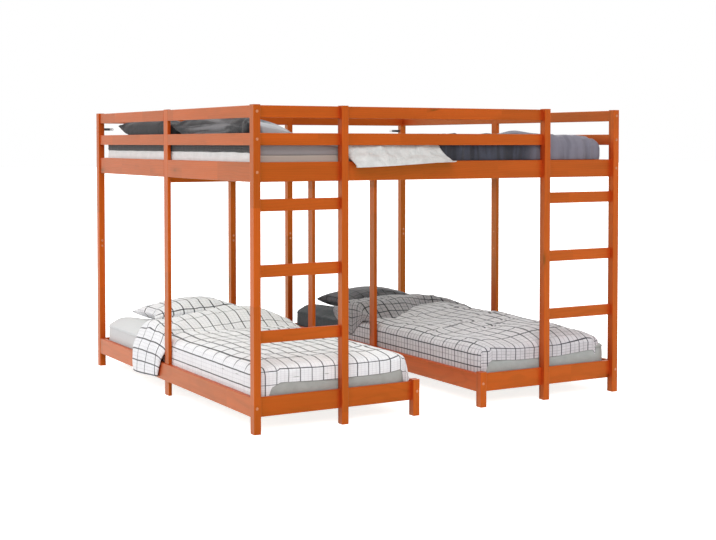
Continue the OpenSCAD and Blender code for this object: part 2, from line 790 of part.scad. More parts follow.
// Fasteners
nut_l = board_t - 5;
hex_w = 4;
hex_deep = 2;
module connecting_bolt(x, z) {
    difference() {
        union() {
            rod_y([x, bolt_recess - bolt_head_t, z], bolt_head_d, bolt_head_t);
            rod_y([x, bolt_recess, z], bolt_d, bolt_l);
        }
        translate([x, bolt_recess - bolt_head_t - eps, z])
            rotate([-90, 0, 0]) cylinder(d = hex_w, h = hex_deep, $fn = 6);
    }
}
module connecting_bolts() {
    color(steel) place() rows() for (j = all_joints) connecting_bolt(j[0], j[1]);
}
module barrel_nuts() {
    color(steel) place() rows() for (j = all_joints) difference() {
        rod_x([j[0] - nut_d / 2, post_d + nut_set, j[1]], nut_d, nut_l);
        rod_y([j[0], post_d + nut_set - nut_d, j[1]], bolt_d + 0.1, 2 * nut_d);
    }
}
module post_pins() {
    color(steel) place() for (x = [post_a, post_b, post_c, post_dr]) {
        rod_z([x + post_w / 2, back_y + post_d / 2, pin_z()], pin_d, pin_l);
        for (z = [back_joint_z - lock_up, back_joint_z + lock_up]) {
            rod_y([x + post_w / 2, back_y + lock_recess - bolt_head_t, z], lock_head_d, bolt_head_t);
            rod_y([x + post_w / 2, back_y + lock_recess, z], lock_d, lock_l - lock_recess);
        }
    }
}
module wood_dowels() {
    color(wood_pale) place() {
        rows() for (j = all_joints)
            rod_y([j[0], post_d - dowel_l / 2, j[1] - dowel_drop(j[2])], dowel_d, dowel_l);
        for (x = [flat_a, flat_d], e = edge_dowels, y = [mid_y, mid_y + flat_post_w])
            rod_y([x + board_t / 2, y - dowel_l / 2, e[0] + e[1]], dowel_d, dowel_l);
        for (y = beam_dowel_y) {
            rod_x([rail_in - beam_dowel_deep, y, beam_z + beam_h / 2], dowel_d, dowel_l);
            rod_x([frame_w - rail_in + beam_dowel_deep - dowel_l, y, beam_z + beam_h / 2], dowel_d, dowel_l);
        }
        for (x = [flat_b, flat_c])
            rod_z([x + board_t / 2, frame_d / 2, beam_z - support_dowel_l / 2], dowel_d, support_dowel_l);
    }
}
module wood_screws() {
    color(steel) place() {
        for (s = lap_screws) screw_x(s[0], frame_d / 2, s[1], s[2], lap_screw_l);
        for (s = housing_screws) screw_x(s[0], s[1], s[2], s[3], short_screw_l);
        for (s = plate_screws) screw_x(s[0], plate_screw_y, bracket_z, s[1], plate_screw_l);
        for (x = platform_screw_x) {
            screw_y(x, post_d + ledge_t, platform_screw_z, -1, screw_l);
            screw_y(x, back_y - ledge_t, platform_screw_z, 1, screw_l);
        }
        for (b = beds, y = bed_screw_y) {
            screw_x(b[0] + ledge_t, y, bed_screw_z, -1, screw_l);
            screw_x(b[1] - ledge_t, y, bed_screw_z, 1, screw_l);
        }
    }
}

// Steel angles on the inner sides of the two back corner posts: one leg is screwed to the post, and the
// other lies flush with the post's back, where a wall screw goes through its rounded end
module wall_plate(x, way) {
    end_x = x + way * (bracket_l - plate_h / 2);
    difference() {
        union() {
            translate([way > 0 ? x : end_x, frame_d - plate_t, bracket_z - plate_h / 2])
                cube([bracket_l - plate_h / 2, plate_t, plate_h]);
            rod_y([end_x, frame_d - plate_t, bracket_z], plate_h, plate_t);
            translate([way > 0 ? x : x - plate_t, frame_d - plate_leg, bracket_z - plate_h / 2])
                cube([plate_t, plate_leg, plate_h]);
        }
        rod_y([end_x, frame_d - plate_t - eps, bracket_z], wall_hole_d, plate_t + 2 * eps);
        for (s = plate_screws) screw_x(s[0], plate_screw_y, bracket_z, s[1], plate_screw_l, screw_fit);
    }
}
module wall_plates() {
    color(steel) place() {
        wall_plate(post_a + post_w, 1);
        wall_plate(post_dr, -1);
    }
}

// Closed form between two grids of points, over(i, j) and under(i, j): i runs from 0 to nu along X,
// and j from 0 to nv along Y
module grid_form(nu, nv, over, under) {
    row = nu + 1;
    n = row * (nv + 1);
    points = [for (face = [over, under], j = [0:nv], i = [0:nu]) face(i, j)];
    tops = [
        for (j = [0:nv - 1], i = [0:nu - 1])
            let (k = j * row + i)
            each [[k, k + row, k + row + 1], [k, k + row + 1, k + 1]]
    ];
    lows = [for (f = tops) [f[2] + n, f[1] + n, f[0] + n]];
    rim = concat(
        [for (i = [0:nu - 1]) i],
        [for (j = [0:nv - 1]) j * row + nu],
        [for (i = [nu:-1:1]) nv * row + i],
        [for (j = [nv:-1:1]) j * row]
    );
    m = len(rim);
    walls = [
        for (k = [0:m - 1])
            let (a = rim[k], b = rim[(k + 1) % m])
            each [[a, b, b + n], [a, b + n, a + n]]
    ];
    polyhedron(points = points, faces = concat(tops, lows, walls));
}

function lerp(a, b, t) = a + (b - a) * t;
// Superellipse on an angle from -90 to 90: across runs from -1 to 1, and rise from 0 over 1 to 0
function across(a, p) = sign(a) * pow(abs(sin(a)), 2 / p);
function rise(a, p) = pow(max(cos(a), 0), 2 / p);

// Point of a cushion round the origin at the angles a and b along X and Y: half sizes half, edge powers p,
// sides drawn in between the corners by the share draw, and a border of at least the height rim
function cushion_point(half, p, draw, rim, a, b, side) =
    let (s = across(a, p[0]), t = across(b, p[1]))
    [
        half[0] * s * (1 - draw * (1 - t * t) * abs(s)),
        half[1] * t * (1 - draw * (1 - s * s) * abs(t)),
        side * max(half[2] * rise(a, p[0]) * rise(b, p[1]), rim / 2)
    ];
function grid_angle(k, n) = 180 * k / n - 90;

// Cushion of those points, with a rounded or a flat underside
module cushion(half, p, draw, rim, nu, nv, flat = false) {
    at = function (i, j, side)
        cushion_point(half, p, draw, rim, grid_angle(i, nu), grid_angle(j, nv), side);
    under = function (i, j)
        let (low = at(i, j, -1))
        flat ? [low[0], low[1], -half[2]] : low;
    grid_form(nu, nv, function (i, j) at(i, j, 1), under);
}

// Mattress between the faces x0 and x1, from z0: a flat underside, an upright border and a slight crown
module mattress(x0, x1, z0, t) {
    half_x = (x1 - x0) / 2 - mattress_gap;
    half_y = bed_clear_l / 2 - mattress_gap;
    translate([(x0 + x1) / 2, frame_d / 2, z0 + t / 2])
        cushion([half_x, half_y, t / 2], [9, 16], 0.004, t - 2 * mattress_crown, 8, 10, true);
}

module upper_mattress() {
    color(cover_grey) place() mattress(rail_in, frame_w - rail_in, upper_mattress_z, upper_mattress_t);
}
module left_mattress() {
    color(cover_grey) place() mattress(beds[0][0], beds[0][1], bed_mattress_z, bed_mattress_t);
}
module right_mattress() {
    color(slate) place() mattress(beds[1][0], beds[1][1], bed_mattress_z, bed_mattress_t);
}

// Lower pillows lie on the mattress at the head end, a little to the left of the bed's middle
module lower_pillow(bed, shift) {
    mid_x = (bed[0] + bed[1]) / 2 - shift;
    mid = back_y - mattress_gap - pillow_head_gap - pillow_w / 2;
    translate([mid_x, mid, bed_top_z + soft_gap + pillow_t / 2])
        cushion([pillow_l / 2, pillow_w / 2, pillow_t / 2], [2.6, 2.6], 0.10, seam_h, 12, 10);
}
module left_pillow() {
    color(duvet_white) place() lower_pillow(beds[0], left_pillow_shift);
}
module right_pillow() {
    color(duvet_grey) place() lower_pillow(beds[1], right_pillow_shift);
}

// Grid lines of hanging bedding from lo to hi: they start with a few close ones down the hanging edge,
// at these distances from it, where the cloth has risen to these shares of its height
hang_at = [0, 2, 26, 60];
hang_rise = [0, 0.72, 1];
function hang_line(lo, hi, k, n) =
    k < 4 ? lo + hang_at[k] : lerp(lo + hang_at[3], hi, (k - 3) / (n - 3));
function hang_lines(lo, hi, k, n) =
    k <= n / 2 ? hang_line(lo, (lo + hi) / 2, k, n / 2) : lo + hi - hang_lines(lo, hi, n - k, n);
function hang_share(k, inner) = inner > 0 ? min(k, 1) : hang_rise[min(k, 2)];

// The spread part of a lower duvet covers the mattress from the foot end, and its hem hangs inside the
// rails on three sides. Its upper face has a crown and long folds.
low_rail_top = low_rail_z + wide_h / 2;
hem_z = low_rail_top + hem_up;
spread_y0 = post_d + 1;
roll_y0 = mid_y + flat_post_w + roll_back;
spread_y1 = roll_y0 - roll_gap;
spread_l = spread_y1 - spread_y0;
roll_fall = 24;
roll_edge = 26;
front_fold = 80;
module duvet_spread(bed) {
    n = 14;
    face = function (i, j, inner)
        let (
            x = hang_lines(bed[0] + 1 + inner, bed[1] - 1 - inner, i, n),
            y = hang_line(spread_y0 + inner, spread_y1, j, n),
            s = 2 * (x - bed[0]) / bed_clear_w - 1,
            t = 2 * (y - spread_y0) / spread_l - 1,
            crown = duvet_t * (0.6 + 0.4 * (1 - s * s) * (1 - t * t)),
            folds = fold_wave * sin(300 * t + 110 * s) * (1 - s * s),
            top = bed_top_z + (inner > 0 ? form_gap : crown + folds),
            hem = hem_z + hem_wave * sin(260 * t + 170 * s),
            share = min(hang_share(min(i, n - i), inner), hang_share(j, inner))
        )
        [x, y, lerp(hem, top, share)];
    grid_form(n, n, function (i, j) face(i, j, 0), function (i, j) face(i, j, skirt_t));
}

// Smooth curve through a list of points at t from 0 to 1
function curve(pts, t) =
    let (
        n = len(pts) - 1,
        k = min(floor(t * n), n - 1),
        f = t * n - k,
        a = pts[max(k - 1, 0)],
        b = pts[k],
        c = pts[k + 1],
        d = pts[min(k + 2, n)]
    )
    0.5 * (2 * b + (c - a) * f + (2 * a - 5 * b + 4 * c - d) * f * f + (3 * b - a - 3 * c + d) * f * f * f);

// The turned back part of a lower duvet lies across the bed in a thick roll. Its profile from right to left
// is a list of [inner, outer] pairs of points in X and Z.
module duvet_roll(bed, left_end, slant) {
    x0 = bed[0];
    x1 = bed[1];
    z0 = bed_top_z + form_gap;
    right_end = [
        [[x1 - skirt_t - 1, hem_z], [x1 - 1, hem_z]],
        [[x1 - skirt_t - 1, bed_top_z - 5], [x1 - 1, bed_top_z - roll_fall]],
        [[x1 - roll_edge - 14, z0], [x1 - roll_edge, z0 + 0.4 * roll_h]]
    ];
    roll = [
        [[lerp(x0, x1, 0.68), z0], [lerp(x0, x1, 0.70), z0 + roll_h]],
        [[lerp(x0, x1, 0.36), z0], [lerp(x0, x1, 0.38), z0 + roll_h]]
    ];
    profile = concat(right_end, roll, left_end);
    nu = 20;
    nv = 9;
    face = function (i, j, outer)
        let (
            u = 1 - i / nu,
            v = j / nv,
            pair = curve(profile, u),
            bulge = 0.35 + 0.65 * sqrt(1 - pow(abs(2 * v - 1), 3)),
            folds = u > 0.25 && u < 0.65 ? fold_wave * sin(720 * v + 90 * u) * sin(180 * v) : 0,
            at = lerp(pair[0], pair[1], outer * bulge),
            hang = max(4 * u - 3, 0)
        )
        [at[0], lerp(roll_y0 + slant * hang, roll_y0 + roll_l, v), at[1] + outer * folds];
    grid_form(nu, nv, function (i, j) face(i, j, 1), function (i, j) face(i, j, 0));
}

// On the left bed the roll's end falls over the outer side rail. On the right bed it stays inside the rail.
module left_duvet() {
    x0 = beds[0][0];
    z0 = bed_top_z + form_gap;
    rail_out = side_rail_set - skirt_t;
    half_way = (low_rail_top + drape_z) / 2;
    drape = [
        [[x0 + 60, z0], [x0 + 0.12 * bed_clear_w, z0 + 0.7 * roll_h]],
        [[x0 + 4, bed_top_z - 3], [x0 - 8, bed_top_z + 0.2 * roll_h]],
        [[rail_out + 4, low_rail_top + 20], [-0.7 * drape_out, low_rail_top + 34]],
        [[rail_out, half_way], [4 - drape_out, half_way]],
        [[rail_out, drape_z], [-drape_out, drape_z]]
    ];
    color(duvet_white) place() {
        duvet_spread(beds[0]);
        duvet_roll(beds[0], drape, drape_slant);
    }
}
module right_duvet() {
    x0 = beds[1][0];
    z0 = bed_top_z + form_gap;
    tuck = [
        [[x0 + 60, z0], [x0 + 56, z0 + 0.9 * roll_h]],
        [[x0 + 30, z0], [x0 + 14, z0 + 0.5 * roll_h]],
        [[x0 + skirt_t + 1, bed_top_z - 5], [x0 + 1, bed_top_z - 16]],
        [[x0 + skirt_t + 1, hem_z], [x0 + 1, hem_z]]
    ];
    color(duvet_grey) place() {
        duvet_spread(beds[1]);
        duvet_roll(beds[1], tuck, 0);
    }
}

// Bedding of the platform
module upper_blanket() {
    half_x = in_w / 2 - mattress_gap - 2;
    half_y = bed_clear_l / 2 - mattress_gap - 2;
    color(slate) place()
        translate([frame_w / 2, frame_d / 2, upper_top_z + soft_gap + blanket_t / 2])
            cushion([half_x, half_y, blanket_t / 2], [14, 16], 0.003, blanket_t - mattress_crown, 8, 8, true);
}

// Upper pillows lie end to end along the left guard rails and lean on them
pillow_edge = 2.3;
upper_pillow_y = [post_d + pillow_end_gap, post_d + pillow_end_gap + upper_pillow_l + pillow_step];
module upper_pillows() {
    half = [upper_pillow_w / 2, upper_pillow_l / 2, upper_pillow_t / 2];
    p = [pillow_edge, 3];
    draw = 0.06;
    nu = 12;
    nv = 10;
    // Height of the tilted pillow's middle over its lowest point
    mid = max([
        for (i = [0:nu], j = [0:nv])
            let (at = cushion_point(half, p, draw, seam_h, grid_angle(i, nu), grid_angle(j, nv), 1))
            at[0] * sin(upper_pillow_tilt) + at[2] * cos(upper_pillow_tilt)
    ]);
    color(slate) place() for (y = upper_pillow_y)
        translate([rail_in + half[0] + pillow_side_gap, y + half[1], blanket_top_z + mid + soft_gap])
            rotate([0, upper_pillow_tilt, 0]) cushion(half, p, draw, seam_h, nu, nv);
}

// The upper duvet lies on the right half of the platform, and its front edge hangs down to the front rail
platform_rail_top = platform_z + wide_h / 2;
turnback_x0 = post_a2 + post_w + turnback_in;
turnback_x1 = turnback_x0 + turnback_w;
upper_duvet_x0 = turnback_x1 + roll_gap;
upper_duvet_x1 = frame_w - upper_duvet_in;
module upper_duvet() {
    n = 12;
    low = blanket_top_z + form_gap;
    face = function (i, j, inner)
        let (
            x = lerp(upper_duvet_x0, upper_duvet_x1, 0.5 + 0.5 * across(180 * i / n - 90, 3)),
            y = hang_line(post_d + 1 + inner, post_d + upper_duvet_l, j, n),
            t = (y - post_d) / upper_duvet_l,
            puff = rise(180 * i / n - 90, 6) * sqrt(max(1 - pow(t, 8), 0)),
            folds = fold_wave * sin(4 * x / 5 + y / 3),
            top = low + max((duvet_t + folds) * puff, seam_h)
        )
        [x, y, lerp(platform_rail_top + seam_h, inner > 0 ? low : top, hang_share(j, inner))];
    color(navy) place()
        grid_form(n, n, function (i, j) face(i, j, 0), function (i, j) face(i, j, mattress_gap - 2));
}

// Its white end is turned back beside it and hangs over the front rail. Its profile from front to back is
// a list of [inner, outer] pairs of points in Y and Z.
module upper_duvet_turnback() {
    top = blanket_top_z + form_gap;
    fall = platform_rail_top - turnback_drop;
    front = front_rail_y - form_gap;
    profile = [
        [[front, fall], [4, fall]],
        [[front, platform_rail_top - 4], [2, platform_rail_top - 6]],
        [[front + 6, platform_rail_top + 7], [8, platform_rail_top + 24]],
        [[post_d + 4, platform_rail_top + 18], [24, platform_rail_top + 44]],
        [[post_d + 9, blanket_top_z - 3], [post_d + 14, blanket_top_z + 20]],
        [[post_d + front_fold - 20, top], [post_d + front_fold, top + duvet_t]],
        [[post_d + 0.37 * turnback_l, top], [post_d + 0.37 * turnback_l, top + 1.2 * duvet_t]],
        [[post_d + 0.7 * turnback_l, top], [post_d + 0.7 * turnback_l, top + 1.2 * duvet_t]],
        [[post_d + turnback_l, top], [post_d + turnback_l, top + 0.4 * duvet_t]]
    ];
    nu = 12;
    nv = 18;
    face = function (i, j, outer)
        let (
            u = i / nu,
            v = j / nv,
            pair = curve(profile, v),
            bulge = 0.4 + 0.6 * sqrt(1 - pow(abs(2 * u - 1), 4)),
            folds = v > 0.5 ? fold_wave * sin(900 * u + 60 * v) * sin(180 * u) : 0,
            at = lerp(pair[0], pair[1], outer * bulge),
            hem_rise = turnback_slant * u * max(1 - 8 * v, 0)
        )
        [
            lerp(turnback_x0, turnback_x1 - turnback_slant * pow(1 - v, 2), u),
            at[0],
            at[1] + outer * folds + hem_rise
        ];
    color(duvet_white) place()
        grid_form(nu, nv, function (i, j) face(i, j, 1), function (i, j) face(i, j, 0));
}

front_left_post();
left_ladder_post();
right_ladder_post();
front_right_post();
foot_posts();
back_left_post_lower();
back_left_post_upper();
back_inner_left_post_lower();
back_inner_left_post_upper();
back_inner_right_post_lower();
back_inner_right_post_upper();
back_right_post_lower();
back_right_post_upper();
left_middle_post_lower();
left_middle_post_upper();
right_middle_post_lower();
right_middle_post_upper();
left_inner_support();
right_inner_support();
left_guard_rails();
right_guard_rails();
front_guard_rails();
back_guard_rails();
left_platform_rails();
right_platform_rails();
front_platform_rails();
back_platform_rails();
middle_beam();
left_bed_outer_rail();
left_bed_inner_rail();
right_bed_inner_rail();
right_bed_outer_rail();
left_bed_foot_rails();
right_bed_foot_rails();
bed_head_rails();
left_ladder_rungs();
right_ladder_rungs();
platform_ledges();
bed_ledges();
platform_slats();
left_bed_slats();
right_bed_slats();
slat_straps();
connecting_bolts();
barrel_nuts();
post_pins();
wood_dowels();
wood_screws();
wall_plates();
upper_mattress();
left_mattress();
right_mattress();
left_duvet();
left_pillow();
right_duvet();
right_pillow();
upper_blanket();
upper_pillows();
upper_duvet();
upper_duvet_turnback();
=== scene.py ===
"""Looks of the triple bunk bed: its finishes, its bedding, the studio and the camera.

Lengths in this file are millimetres from the frame's front left corner, as in the part's source, until
a mesh is made: there they become metres in the part's own frame.
"""

import logging
import math
from dataclasses import dataclass, field
from enum import Enum
from functools import partialmethod
from typing import Callable, Dict, List, Optional, Sequence, Tuple, Union

import bmesh
import bpy
import numpy as np
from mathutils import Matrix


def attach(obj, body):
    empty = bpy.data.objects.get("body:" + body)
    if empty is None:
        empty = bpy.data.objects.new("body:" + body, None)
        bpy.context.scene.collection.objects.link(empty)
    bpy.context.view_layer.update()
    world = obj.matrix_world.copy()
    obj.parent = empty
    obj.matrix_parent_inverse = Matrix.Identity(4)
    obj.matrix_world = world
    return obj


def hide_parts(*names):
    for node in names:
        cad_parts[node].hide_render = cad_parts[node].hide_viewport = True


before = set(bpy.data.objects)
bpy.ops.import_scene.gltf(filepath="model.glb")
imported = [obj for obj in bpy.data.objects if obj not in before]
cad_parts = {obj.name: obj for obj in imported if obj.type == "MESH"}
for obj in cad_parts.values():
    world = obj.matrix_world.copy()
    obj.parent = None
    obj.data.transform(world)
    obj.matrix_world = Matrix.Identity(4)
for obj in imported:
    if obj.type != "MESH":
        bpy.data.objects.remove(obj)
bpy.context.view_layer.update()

LOG = logging.getLogger("bunk_bed")
Array = np.ndarray
Number = Union[float, bpy.types.NodeSocket]
Rgb = Tuple[float, float, float]

# The part's origin from the frame's front left corner, in millimetres
ORIGIN = np.array([1011.0, 1050.0, 0.0])

# Heights in metres at which the next level of boards begins, and the height that holds them all
BOARD_LEVELS = (0.0, 0.277, 0.566, 0.855, 1.064, 1.225, 1.3495)
LEVEL_SPAN = 1.5
# Pine: distance from growth ring to growth ring, and how far the late wood stands out, in metres
RING_PITCH = 0.0065
RING_RELIEF = 0.0004
# Cloth: how far a thread stands out, and the rib pitch and relief of webbing, in metres
WEAVE_RELIEF = 0.00025
RIB_PITCH = 0.0024
RIB_RELIEF = 0.0004
# Meshes: points nearer than this, in metres, are one point
SAME_POINT = 0.00002


def linear(hex_colour: str) -> Rgb:
    """Turn an sRGB colour into linear light.

    Args:
        hex_colour: the colour as written in a style sheet, such as "#c8743c".

    Returns:
        Its red, green and blue in linear light.
    """
    parts = [int(hex_colour[i : i + 2], 16) / 255 for i in (1, 3, 5)]
    return tuple(p / 12.92 if p <= 0.04045 else ((p + 0.055) / 1.055) ** 2.4 for p in parts)


# ---------------------------------------------------------------- shader trees


class Tree:
    """A material's or the world's node tree, with short calls for the nodes that this scene uses."""

    def __init__(self, tree: bpy.types.NodeTree) -> None:
        """Start from an empty tree."""
        self.tree = tree
        tree.nodes.clear()

    def add(self, kind: str, inputs: Optional[Dict] = None, **settings) -> bpy.types.Node:
        """Add one node with its settings, values and links.

        Args:
            kind: the node's type.
            inputs: values or sockets for its inputs, by name or number.
            settings: the node's own properties.

        Returns:
            The new node.
        """
        node = self.tree.nodes.new(kind)
        for name, value in settings.items():
            setattr(node, name, value)
        for key, value in (inputs or {}).items():
            if isinstance(value, bpy.types.NodeSocket):
                self.tree.links.new(value, node.inputs[key])
            else:
                node.inputs[key].default_value = value
        return node

    def math(self, operation: str, a, b=0.0, c=0.0, clamp: bool = False) -> bpy.types.NodeSocket:
        """One arithmetic step on numbers or sockets."""
        node = self.add("ShaderNodeMath", {0: a, 1: b, 2: c}, operation=operation, use_clamp=clamp)
        return node.outputs[0]

    def vector(self, operation: str, a, b=(0.0, 0.0, 0.0)) -> bpy.types.NodeSocket:
        """One step of vector arithmetic."""
        node = self.add("ShaderNodeVectorMath", {0: a, 1: b}, operation=operation)
        return node.outputs[1 if operation in ("LENGTH", "DOT_PRODUCT") else 0]

    times = partialmethod(math, "MULTIPLY")
    plus = partialmethod(math, "ADD")
    minus = partialmethod(math, "SUBTRACT")
    over = partialmethod(math, "DIVIDE")
    scaled = partialmethod(math, "MULTIPLY_ADD")
    larger = partialmethod(math, "MAXIMUM")
    stretch = partialmethod(vector, "MULTIPLY")

    def join(self, x, y, z) -> bpy.types.NodeSocket:
        """A vector from three numbers or sockets."""
        return self.add("ShaderNodeCombineXYZ", {0: x, 1: y, 2: z}).outputs[0]

    def split(self, vector: bpy.types.NodeSocket) -> Tuple[bpy.types.NodeSocket, ...]:
        """The three parts of a vector."""
        return tuple(self.add("ShaderNodeSeparateXYZ", {0: vector}).outputs)

    def mix(self, factor, a, b) -> bpy.types.NodeSocket:
        """Mix two colours, given as sockets or as linear red, green and blue."""
        full = [x if isinstance(x, bpy.types.NodeSocket) else (*x, 1.0) for x in (a, b)]
        node = self.add("ShaderNodeMix", {0: factor, 6: full[0], 7: full[1]}, data_type="RGBA")
        return node.outputs[2]

    def noise(self, vector, scale: float, detail: float = 3.0, rough: float = 0.5, bend: float = 0.0):
        """Cloudy noise from 0 to 1 at a point."""
        inputs = {"Vector": vector, "Scale": scale, "Detail": detail, "Roughness": rough, "Distortion": bend}
        return self.add("ShaderNodeTexNoise", inputs).outputs[0]

    def dice(self, vector) -> bpy.types.Node:
        """A fixed random number and colour for a cell: outputs Value and Color."""
        return self.add("ShaderNodeTexWhiteNoise", {"Vector": vector}, noise_dimensions="3D")

    def span(self, value, low: float, high: float, to_low: float = 0.0, to_high: float = 1.0):
        """Map a number from one range to another, softly and within the ends."""
        inputs = {0: value, 1: low, 2: high, 3: to_low, 4: to_high}
        return self.add("ShaderNodeMapRange", inputs, interpolation_type="SMOOTHSTEP").outputs[0]

    def ramp(self, factor, stops: Sequence[Tuple[float, Rgb]], mode: str = "LINEAR"):
        """Colours along a number from 0 to 1.

        Args:
            factor: the number.
            stops: places and linear colours.
            mode: how colours blend between stops.

        Returns:
            The colour's socket.
        """
        node = self.add("ShaderNodeValToRGB", {0: factor})
        band = node.color_ramp
        band.interpolation = mode
        while len(band.elements) < len(stops):
            band.elements.new(1.0)
        for element, (place, colour) in zip(band.elements, stops):
            element.position = place
            element.color = (*colour, 1.0)
        return node.outputs[0]

    def object_point(self) -> bpy.types.NodeSocket:
        """The point in the part's frame, in metres."""
        return self.add("ShaderNodeTexCoord").outputs["Object"]

    def bump(self, height, distance: float, strength: float = 1.0, normal=None):
        """Bend the normal by a height from 0 to 1 that stands for a distance in metres."""
        inputs = {"Height": height, "Distance": distance, "Strength": strength}
        if normal is not None:
            inputs["Normal"] = normal
        return self.add("ShaderNodeBump", inputs).outputs[0]

    def watched(self) -> bpy.types.NodeSocket:
        """1 for what the camera sees, straight or in a reflection, and 0 for what only lights the bed."""
        seen = self.add("ShaderNodeLightPath").outputs
        bounced = self.larger(seen["Is Glossy Ray"], seen["Is Transmission Ray"])
        return self.larger(seen["Is Camera Ray"], bounced)

    def surface(self, **inputs) -> None:
        """Finish the tree with the main shader, its inputs given by name with underscores."""
        named = {k.replace("_", " "): v for k, v in inputs.items()}
        shader = self.add("ShaderNodeBsdfPrincipled", named)
        self.add("ShaderNodeOutputMaterial", {0: shader.outputs[0]})


def new_finish(name: str) -> Tuple[bpy.types.Material, Tree]:
    """A new material and its empty tree."""
    made = bpy.data.materials.new(name)
    made.use_nodes = True
    return made, Tree(made.node_tree)


class Grain(Enum):
    """The axis along which a board's fibres run."""

    ALONG_X = 0
    ALONG_Y = 1
    ALONG_Z = 2


# ---------------------------------------------------------------- finishes


@dataclass(frozen=True)
class WoodFinish:
    """Pine built up of finger jointed blocks, stained or left plain, under a satin wax."""

    name: str
    grain: Grain
    deep: str
    middle: str
    bright: str
    knot: str
    cell_step: float = 0.4
    block: float = 0.43
    roughness: float = 0.42
    # Whether a darker strip of painted shade runs along the rear of the front posts
    shaded_rear_strip: bool = False

    def material(self) -> bpy.types.Material:
        """Build the finish.

        Each board is a cell of its level and place, and each block along it has its own tone, its own place
        in the tree and its own knots. Growth rings are the distance from the tree's heart.

        Returns:
            The material.
        """
        made, t = new_finish(self.name)
        point = t.object_point()
        parts = t.split(point)
        axis = self.grain.value
        others = [k for k in (0, 1, 2) if k != axis]
        along = parts[axis]
        # Boards that lie one over another differ by level, and others by their place in plan
        stops = [(z / LEVEL_SPAN, (0.1 + 0.12 * k,) * 3) for k, z in enumerate(BOARD_LEVELS)]
        level = t.ramp(t.over(parts[2], LEVEL_SPAN), stops, "CONSTANT")
        if self.grain is Grain.ALONG_Z:
            cell_a = t.math("FLOOR", t.over(parts[0], 0.38))
            cell_b = t.math("FLOOR", t.plus(t.over(parts[1], 0.7), 0.5))
        else:
            cross = parts[others[0]]
            cell_a = t.math("FLOOR", t.plus(t.over(cross, self.cell_step), 0.5))
            cell_b = t.times(t.add("ShaderNodeRGBToBW", {0: level}).outputs[0], 10.0)
        board = t.dice(t.join(cell_a, cell_b, float(axis)))
        step = t.plus(t.over(along, self.block), t.times(board.outputs[0], 9.0))
        block = t.dice(t.join(t.math("FLOOR", step), t.times(board.outputs[0], 97.0), cell_b))
        shift = t.stretch(block.outputs[1], (7.0, 5.0, 9.0))

        def stretched(along_scale: float, cross_scale: float) -> bpy.types.NodeSocket:
            """The point drawn out along the fibres, moved by the block's own shift."""
            scale = [cross_scale] * 3
            scale[axis] = along_scale
            return t.vector("ADD", t.stretch(point, tuple(scale)), shift)

        streaks = t.noise(stretched(1.3, 26.0), 1.0, 4.0, 0.55, 0.5)
        clouds = t.noise(stretched(3.0, 9.0), 1.0, 2.0, 0.5)
        fibres = t.noise(stretched(14.0, 420.0), 1.0, 3.0, 0.6)
        # Rings: distance from a heart that lies outside the board, bent by slow noise
        off_middle = t.vector("SUBTRACT", block.outputs[1], (0.5, 0.5, 0.5))
        heart = t.stretch(off_middle, (0.16, 0.16, 0.16))
        flat_scale = [1.0, 1.0, 1.0]
        flat_scale[axis] = 0.03
        from_heart = t.vector("ADD", t.stretch(point, tuple(flat_scale)), heart)
        radius = t.vector("LENGTH", t.vector("SUBTRACT", from_heart, t.join(0.31, 0.23, 0.19)))
        bend = t.times(t.noise(stretched(2.0, 7.0), 1.0, 2.0), 0.03)
        rings = t.math("SINE", t.times(t.plus(radius, bend), 2 * math.pi / RING_PITCH))
        late = t.span(rings, 0.2, 1.0)
        # Knots: sparse ellipses drawn out along the fibres
        cells = t.add("ShaderNodeTexVoronoi", {"Vector": stretched(5.0, 15.0), "Scale": 1.0})
        rare = t.math("GREATER_THAN", t.split(cells.outputs["Color"])[0], 0.86)
        knot = t.times(t.span(cells.outputs["Distance"], 0.2, 0.08), rare)
        halo = t.times(t.span(cells.outputs["Distance"], 0.5, 0.15), rare)

        tone = t.scaled(block.outputs[0], 0.24, 0.21)
        tone = t.scaled(streaks, 0.62, t.minus(tone, 0.14))
        tone = t.scaled(clouds, 0.3, t.minus(tone, 0.12))
        tone = t.scaled(late, -0.11, tone)
        tone = t.scaled(halo, -0.25, tone, clamp=True)
        colour = t.ramp(
            tone, [(0.08, linear(self.deep)), (0.5, linear(self.middle)), (0.9, linear(self.bright))]
        )
        colour = t.mix(t.times(knot, 0.75), colour, linear(self.knot))
        # Painted highlight along the long edges, in cloudy patches: the rounded parts of the boards, whose
        # normal isn't along an axis
        normal = t.add("ShaderNodeTexCoord").outputs["Normal"]
        sides = t.split(t.vector("ABSOLUTE", normal))
        flatness = t.larger(t.larger(sides[0], sides[1]), sides[2])
        edge_highlight = t.times(t.span(flatness, 0.96, 0.8), t.span(clouds, 0.3, 0.7, 0.15, 0.5))
        colour = t.mix(edge_highlight, colour, linear(self.bright))
        if self.shaded_rear_strip:
            # Painted shade: a darker strip along the rear 18 mm of the front posts, all but the front left one
            rear_shade_mask = t.math("COMPARE", parts[1], -1.017, 0.009)
            rear_shade_mask = t.times(rear_shade_mask, t.math("GREATER_THAN", parts[0], -0.95))
            colour = t.mix(t.times(rear_shade_mask, 0.55), colour, linear(self.deep))
        height = t.scaled(late, 0.5, t.times(fibres, 0.5))
        rough = t.scaled(fibres, 0.16, self.roughness - 0.08)
        t.surface(
            Base_Color=colour,
            Roughness=rough,
            IOR=1.5,
            Specular_IOR_Level=0.73,
            Specular_Tint=(1.0, 1.0, 0.10, 1.0),
            Normal=t.bump(height, RING_RELIEF, 0.35),
        )
        return made


